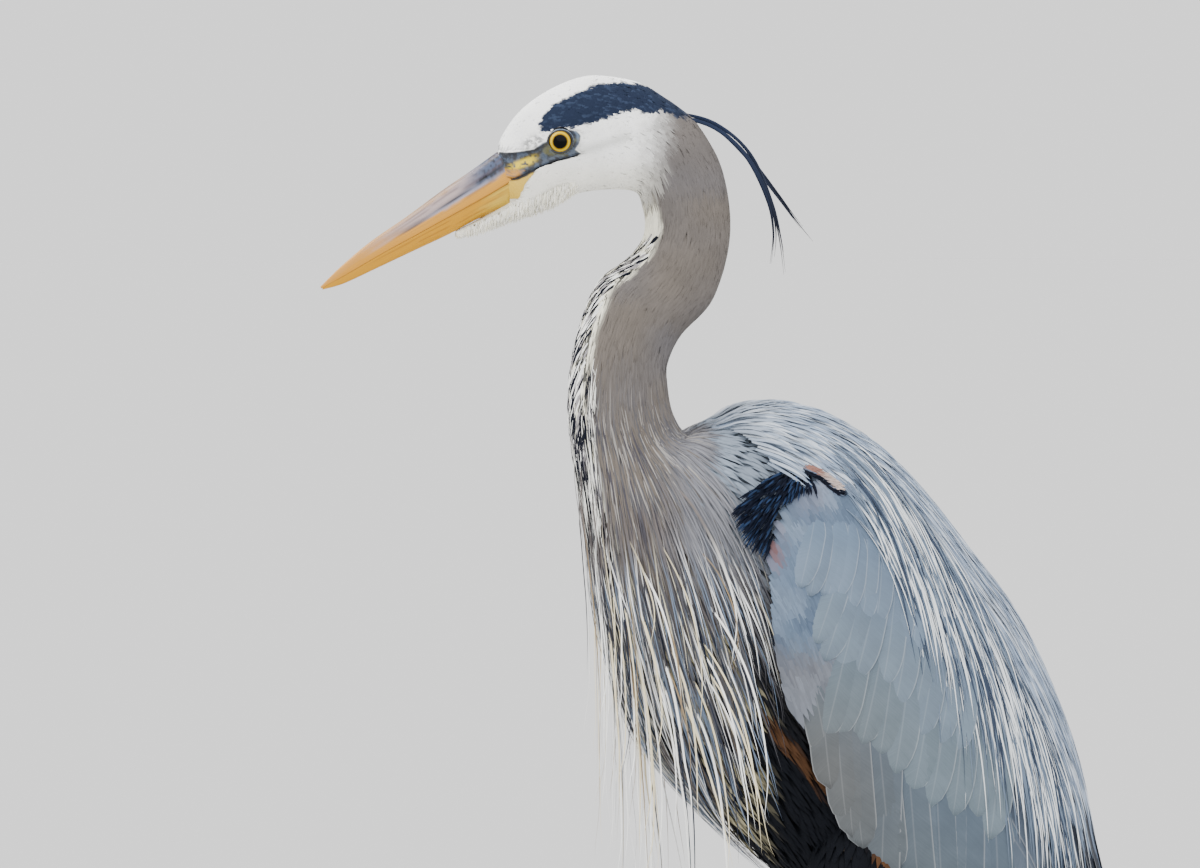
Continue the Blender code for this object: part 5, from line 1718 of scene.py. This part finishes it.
def makeNapePlumes():
    s = napeSettings
    t = np.linspace(0, 1, s["rings"])
    for number, name in enumerate(("left", "middle", "right")):
        rng = np.random.default_rng(s["seed"] + number)
        (start, end), path = s[name]
        path = np.array(path)
        count = s["strands"]
        reach = rng.uniform(0.72, 1.0, count)
        reach[0] = 1.0
        share = t[None] * reach[:, None] * (len(path) - 1)
        yz = rowAt(path, share)
        x = start + (end - start) * share / (len(path) - 1)
        centre = np.concatenate([x[..., None], yz], -1)
        aside = rng.uniform(-1, 1, (count, 3)) * (0.0018, 0.0018, 0.0012)
        aside[0] = 0
        centre = centre + aside[:, None] * (0.3 + t)[None, :, None]
        along = unit(np.gradient(centre, axis=1))
        ups = unit(np.cross(along, np.array([1.0, 0, 0]) + 0 * along))
        taper = (0.5 + 0.5 * smooth(0, 0.2, t)) * (1 - smooth(0.5, 1.02, t) * 0.93)
        half = s["half"] * rng.uniform(0.7, 1.1, count)[:, None] * taper[None]
        tint = mix(paint(38, 48, 72) + 0 * centre, paint(24, 28, 40),
                   smooth(0.2, 0.9, t)[None] * np.ones((count, 1)))
        root = np.full((count, 2), 0.3) + 0.004 * number
        roll = rng.uniform(-0.5, 0.5, count) + math.pi / 2
        batch = vaneBatch(centre, ups, half, half * 0.5, tint, root, 3, False, roll)
        featherPiece("napePlume_" + name, [batch], plumage["plume"], ["nape_plume_" + name])


makeNapePlumes()


tailSettings = {"feathers": 6, "length": (0.150, 0.165), "half": 0.0150, "lift": -0.0006, "seed": 350}


def makeTail():
    # Six broad feathers a side, the middle pair on top, and soft feathers over their roots.
    s = tailSettings
    rng = np.random.default_rng(s["seed"])
    t = np.linspace(0, 1, 20)
    share = np.linspace(0, 1, s["feathers"])
    rootRow, tipRow = tailRows[0], tailRows[-1]
    rootMiddle = np.array([0, (rootRow[0] + rootRow[2]) / 2, (rootRow[1] + rootRow[3]) / 2])
    tipMiddle = np.array([0, (tipRow[0] + tipRow[2]) / 2, (tipRow[1] + tipRow[3]) / 2])
    down = unit(tipMiddle - rootMiddle)
    behind = unit(np.array([0, -down[2], down[1]]))
    aside = np.array([1, 0, 0])
    batches = []
    for under in (0, 1):
        start = rootMiddle + aside * (0.002 + 0.010 * share)[:, None]
        start = start + behind * (0.006 - 0.009 * share - 0.006 * under)[:, None]
        end = tipMiddle + aside * (0.003 + 0.019 * share)[:, None]
        end = end + behind * (0.002 - 0.003 * share - 0.0015 * under)[:, None]
        end = end - down * (0.010 * share)[:, None]
        centre = start[:, None] + (end - start)[:, None] * t[None, :, None]
        ups = np.broadcast_to(behind, centre.shape)
        half = s["half"] * roundedVane(t, 0.82, 0.55)[None] * (0.8 - 0.1 * share)[:, None]
        tint = mix(paint(120, 126, 136) + 0 * centre, paint(96, 104, 116),
                   smooth(0.6, 1.0, t)[None] * np.ones((len(share), 1)))
        tint = tint * rng.uniform(0.95, 1.05, len(share))[:, None, None]
        root = np.column_stack([0.97 + 0 * share, 0.5 + 0.02 * share])
        batches += pairOfBatches(centre, ups, half, half * 0.10, tint, root, 7, 0.10 * np.ones(len(share)))
    featherPiece("tailFeathers", batches, plumage["vane"], ["tail"])
    cover = {"places": (0.0, 2.3), "angles": circle, "gap": 0.0065, "length": 0.032, "half": 0.0055,
             "rings": 6, "depth": 0.0015,
             "rise": 0.001, "tone": 0.1, "roll": 0.12, "arch": 0.25, "seed": 351, "ribs": 5}

    def colour(point, place, angle):
        return mix(coatColours["mantle"] * 0.75 + 0 * point, paint(216, 216, 212),
                   smooth(1.6, 2.4, np.abs(angle)))

    featherPiece("tailCoverts", [tuftBatch(tailRows, cover, colour, lie(0.0, 0.06, 17))], plumage["down"])


makeTail()
print("plumes and tail made")


legSettings["shankSizes"] = [(0.0085, 0.0105), (0.0058, 0.0064), (0.0050, 0.0056), (0.0056, 0.0068),
                             (0.0078, 0.0092)]
legSettings["tarsusSizes"] = [(0.0079, 0.0097), (0.0073, 0.0091), (0.0058, 0.0074), (0.0045, 0.0058),
                              (0.0042, 0.0054),
                              (0.0050, 0.0056), (0.0072, 0.0066)]
footSettings = {
    # Turn outwards in degrees, length, claw length and number of joints of each toe.
    "toes": {"inner": (-24, 0.072, 0.016, 2), "middle": (8, 0.095, 0.017, 3), "outer": (40, 0.078, 0.015, 4),
             "hind": (172, 0.050, 0.023, 1)},
    "radius": 0.0042, "height": 0.0034, "ball": 0.0115, "clawRadius": 0.0022,
}
scaleSettings = {
    "size": 1.0, "thickness": 0.00042, "spread": 0.12, "seed": 7, "ends": (0.018, 0.004),
    # Columns of plates down the leg: turn from the front in degrees, spacing, share of its width, length.
    "columns": [(0, 0.0043, 0.62, 0.0026), (52, 0.0036, 0.30, 0.0019), (-52, 0.0036, 0.30, 0.0019),
                (88, 0.0030, 0.27, 0.0016), (-88, 0.0030, 0.27, 0.0016), (125, 0.0032, 0.30, 0.0017),
                (-125, 0.0032, 0.30, 0.0017), (180, 0.0036, 0.45, 0.0020)],
}


def legPath(side):
    shank, ankle, sole = legJoints(side)[2:]
    down = unit(ankle - shank)
    fall = sole - ankle
    upper = [shank - down * 0.012, shank, shank + (ankle - shank) * 0.45, shank + (ankle - shank) * 0.8,
             ankle - down * 0.004]
    lower = [ankle] + [ankle + fall * share for share in (0.03, 0.09, 0.2, 0.55, 0.86, 1.0)]
    return np.array(upper + lower), np.array(legSettings["shankSizes"] + legSettings["tarsusSizes"])


def toePaths(side, sole):
    s = footSettings
    share = np.linspace(0, 1, 60)
    for turn, length, claw, bones in s["toes"].values():
        angle = math.radians(turn)
        heading = np.array([side * math.sin(angle), -math.cos(angle), 0.0])
        rise = s["height"] + 0.0022 * (1 - share)**3
        path = np.array([sole[0], sole[1],
                         0.0]) + heading * (length * share)[:, None] + upright * rise[:, None]
        joints = np.linspace(0, 1, bones + 2)[1:-1] * 0.9 + 0.08
        swell = sum(np.exp(-((share - joint) / 0.035)**2) for joint in joints)
        radius = s["radius"] * (1 - 0.3 * share) * (1 + 0.12 * swell)
        radius = radius * np.sqrt(1 - np.clip((share - 0.965) / 0.036, 0, 1)**2 * 0.75)
        yield heading, path, radius, claw


def pipe(path, radius, sides=24, squash=1.0, upward=(0, 0, 1.0)):
    along = unit(np.gradient(path, axis=0))
    across = unit(np.cross(along, np.array(upward) + 0 * along))
    up = np.cross(across, along)
    turn = np.linspace(0, 2 * math.pi, sides, endpoint=False)
    return (path[:, None] + across[:, None] * (np.cos(turn)[:, None] * radius[:, None, None])
            - up[:, None] * (np.sin(turn)[:, None] * radius[:, None, None] * squash))


def joinedMesh(name, parts):
    # parts is a list of ring grids, each closed at its ends.
    allPoints, quads, fans, offset = [], [], [], 0
    for rings in parts:
        points, quad, fan = closedLoft(rings)
        allPoints.append(points)
        quads.append(quad + offset)
        fans.append(fan + offset)
        offset += len(points)
    return meshFrom(name, np.concatenate(allPoints), [np.concatenate(quads), np.concatenate(fans)])


def makeLegLook(name, colour, dark, scale, bump, roughness):
    look, tree, shader = newLook(name, roughness, 0.4)
    place = objectPlace(tree)
    cells = node(tree, "ShaderNodeTexVoronoi", {"Vector": place, "Scale": scale}, feature="DISTANCE_TO_EDGE")
    seam = rescaled(tree, cells.outputs["Distance"], 0.0, 0.12)
    cloud = rescaled(tree, noise(tree, place, 90.0, 4.0), 0.35, 0.65)
    tone = blended(tree, cloud, paint(*dark), paint(*colour))
    finishLook(tree, shader, blended(tree, seam, paint(*dark) * 0.45, tone), seam, bump, 0.0005)
    return look


scaleMarks = ("lengthways", "outwards", "extent")


def makeScaleTree():
    # Lays one flat scale at each point, turned to run along the leg and to face out of it.
    ins = [("Geometry", "Geometry", None), ("Size", "Float", 1.0), ("Thickness", "Float", 0.0004),
           ("Spread", "Float", 0.1), ("Seed", "Int", 1), ("Look", "Material", None)]
    tree, given, result = groupFor("legScales", "GeometryNodeTree", ins, [("Geometry", "Geometry")])
    lengthways, outwards, extent = (
        node(tree, "GeometryNodeInputNamedAttribute", {"Name": label}, data_type="FLOAT_VECTOR").outputs[0]
        for label in scaleMarks)
    turn = node(tree, "FunctionNodeAxesToRotation", {0: outwards, 1: lengthways}, primary_axis="Z",
                secondary_axis="Y")
    plate = node(tree, "GeometryNodeMeshUVSphere", {"Segments": 8, "Rings": 4, "Radius": 1.0})
    least, most = (maths(tree, operation, 1.0, given["Spread"]) for operation in ("SUBTRACT", "ADD"))
    jitter = node(tree, "FunctionNodeRandomValue", {2: least, 3: most, "Seed": given["Seed"]},
                  data_type="FLOAT")
    grown = scaled(tree, extent, maths(tree, "MULTIPLY", given["Size"], jitter.outputs[1]))
    wide, long = node(tree, "ShaderNodeSeparateXYZ", {0: grown}).outputs[:2]
    whole = node(tree, "ShaderNodeCombineXYZ", {0: wide, 1: long, 2: given["Thickness"]})
    placed = node(tree, "GeometryNodeInstanceOnPoints",
                  {"Points": given["Geometry"], "Instance": plate.outputs["Mesh"],
                                                         "Rotation": turn.outputs[0],
                   "Scale": whole.outputs[0]})
    real = node(tree, "GeometryNodeRealizeInstances", {0: placed.outputs[0]})
    dressed = node(tree, "GeometryNodeSetMaterial", {"Geometry": real.outputs[0], "Material": given["Look"]})
    tree.links.new(dressed.outputs[0], result["Geometry"])
    return tree


def layScales(name, spots, marks, tree, look):
    mesh = bpy.data.meshes.new(name + "Spots")
    mesh.from_pydata([tuple(spot) for spot in spots], [], [])
    for label, values in zip(scaleMarks, marks):
        layer = mesh.attributes.new(label, "FLOAT_VECTOR", "POINT")
        layer.data.foreach_set("vector", np.asarray(values, np.float32).reshape(-1))
    carrier = newObject(name + "Spots", mesh)
    modifier = carrier.modifiers.new("scales", "NODES")
    modifier.node_group = tree
    s = scaleSettings
    values = {"Size": s["size"], "Thickness": s["thickness"], "Spread": s["spread"], "Seed": s["seed"],
              "Look": look}
    for item in tree.interface.items_tree:
        if item.item_type == "SOCKET" and item.in_out == "INPUT" and item.name in values:
            modifier[item.identifier] = values[item.name]
    result = bpy.data.meshes.new_from_object(carrier.evaluated_get(bpy.context.evaluated_depsgraph_get()))
    bpy.data.objects.remove(carrier)
    result.name = name
    for label in scaleMarks:
        if label in result.attributes:
            result.attributes.remove(result.attributes[label])
    newPiece(name, result, None)


def toeScales(toe, radius):
    # One row of plates along the top of a toe.
    along = unit(np.gradient(toe, axis=0))
    for k in range(5, 58, 2):
        extent = (radius[k] * 0.66, np.linalg.norm(toe[k] - toe[k - 2]) * 0.62, 1)
        yield toe[k] + upright * (radius[k] - 0.00025), along[k], upright, extent


def legPlates(path, sizes):
    # Broad plates run down the front of the leg and small scales behind them.
    dense = np.linspace(0, len(path) - 1, 1200)
    centre, size = rowAt(path, dense), rowAt(sizes, dense)
    run = np.concatenate([[0], np.cumsum(np.linalg.norm(np.diff(centre, axis=0), axis=1))])
    along = unit(np.gradient(centre, axis=0))
    top, bottom = scaleSettings["ends"]
    for column, (degrees, gap, wide, long) in enumerate(scaleSettings["columns"]):
        at = np.searchsorted(run, np.arange(top + gap * 0.5 * (column % 2), run[-1] - bottom, gap))
        turn = math.radians(degrees)
        across = unit(np.cross(along[at], np.array([0, 1.0, 0])))
        fore = np.cross(across, along[at])
        out = unit(fore * -math.cos(turn) / size[at, 1:2] + across * math.sin(turn) / size[at, 0:1])
        edge = centre[at] - fore * (math.cos(turn) * size[at, 1:2]) + across * (math.sin(turn)
                                                                                * size[at, 0:1])
        extents = [(max(size[number, 0], 0.004) * wide, long, 1) for number in at]
        yield from zip(edge - out * 0.00016, along[at], out, extents)


def makeFoot(label, side, sole, skinLook, clawLook):
    s = footSettings
    ball = s["ball"]
    turn = np.linspace(0, math.pi, 26)[1:-1]
    ballPath = np.array([sole[0], sole[1], ball * 0.62]) + upright * (-np.cos(turn) * ball * 0.8)[:, None]
    parts = [pipe(ballPath[::-1], np.sin(turn) * ball, 40, 1.0, (0, 1.0, 0))]
    claws, scales = [], []
    for heading, toe, radius, clawLength in toePaths(side, sole):
        parts.append(pipe(toe, radius))
        reach = np.linspace(0, 1, 24)
        arch = 0.0020 * np.sin(math.pi * reach * 0.9) - 0.0018 * reach
        start = toe[-1] - heading * 0.0012
        claw = start + heading * (clawLength * 1.05 * reach)[:, None] + upright * arch[:, None]
        claws.append(pipe(claw, s["clawRadius"] * (1 - 0.9 * reach**1.4), 16, 1.15))
        scales += toeScales(toe, radius)
    foot = joinedMesh("footSkin_" + label, parts)
    flat = verticesOf(foot)
    flat[:, 2] = np.maximum(flat[:, 2], 0.0)      # the soles lie flat on the ground
    foot.vertices.foreach_set("co", flat.reshape(-1))
    newPiece("footSkin_" + label, foot, skinLook, ["foot_" + label])
    newPiece("clawHorn_" + label, joinedMesh("clawHorn_" + label, claws), clawLook,
             ["claw_" + name + "_" + label for name in s["toes"]])
    return scales


def makeLegs():
    skinLook = makeLegLook("legSkin", (112, 106, 94), (78, 76, 72), 420.0, 0.5, 0.55)
    scaleLook = makeLegLook("legScale", (122, 116, 102), (92, 90, 84), 150.0, 0.1, 0.42)
    clawLook = makeLegLook("clawHorn", (40, 38, 38), (24, 23, 24), 60.0, 0.05, 0.30)
    scaleTree = makeScaleTree()
    for label, side in sides:
        path, sizes = legPath(side)
        mesh = joinedMesh("legSkin_" + label, [tubeRings(path, sizes, 40, 12)])
        newPiece("legSkin_" + label, mesh, skinLook, ["shank_" + label, "tarsus_" + label])
        scales = makeFoot(label, side, path[-1], skinLook, clawLook) + list(legPlates(path, sizes))
        spots, *marks = zip(*scales)
        layScales("legScales_" + label, spots, marks, scaleTree, scaleLook)


makeLegs()
print("legs made")


stageSettings = {
    "azimuth": math.radians(76), "elevation": math.radians(2), "distance": 5.0,
    "target": Vector((0.0, -0.095, 0.705)),
    "sensor": 36.0, "lens": 238.0, "floorReach": 60.0, "fill": 1.35,
    "suns": [((-0.15, -0.55, 0.75), 4.6, 40), ((0.80, -0.10, 0.45), 2.0, 70), ((-0.4, 0.7, 0.5), 1.0, 70)],
}


def makeStage():
    s = stageSettings
    scene = bpy.context.scene
    side, lift = s["azimuth"], s["elevation"]
    back = Vector((math.sin(side) * math.cos(lift), -math.cos(side) * math.cos(lift), math.sin(lift)))
    camera = newObject("camera", bpy.data.cameras.new("camera"))
    camera.location = s["target"] + back * s["distance"]
    camera.rotation_euler = back.to_track_quat("Z", "Y").to_euler()
    camera.data.sensor_width = s["sensor"]
    camera.data.lens = s["lens"]
    camera.data.clip_end = 300.0
    scene.camera = camera
    onFloor = 0.0
    for towards, strength, spread in s["suns"]:
        lamp = bpy.data.lights.new("softSun", "SUN")
        lamp.energy = strength
        lamp.angle = math.radians(spread)
        newObject("softSun", lamp).rotation_euler = Vector(towards).to_track_quat("Z", "Y").to_euler()
        onFloor += strength * Vector(towards).normalized().z
    world = bpy.data.worlds.new("studio")
    world.use_nodes = True
    air = world.node_tree.nodes["Background"].inputs
    air["Color"].default_value = (1, 1, 1, 1)
    air["Strength"].default_value = s["fill"]
    scene.world = world
    # The floor gives back as much light as the studio behind it, so no line divides them.
    shade = s["fill"] / (s["fill"] + onFloor / math.pi)
    reach = s["floorReach"]
    corners = np.array([(-reach, -reach, 0), (reach, -reach, 0), (reach, reach, 0), (-reach, reach, 0)])
    mesh = meshFrom("floor", corners, [np.array([[0, 1, 2, 3]])])
    floor = newObject("floor", mesh)
    look, _, shader = newLook("paleFloor", 0.9, 0.0)
    shader.inputs["Base Color"].default_value = (shade, shade, shade, 1)
    mesh.materials.append(look)


makeStage()
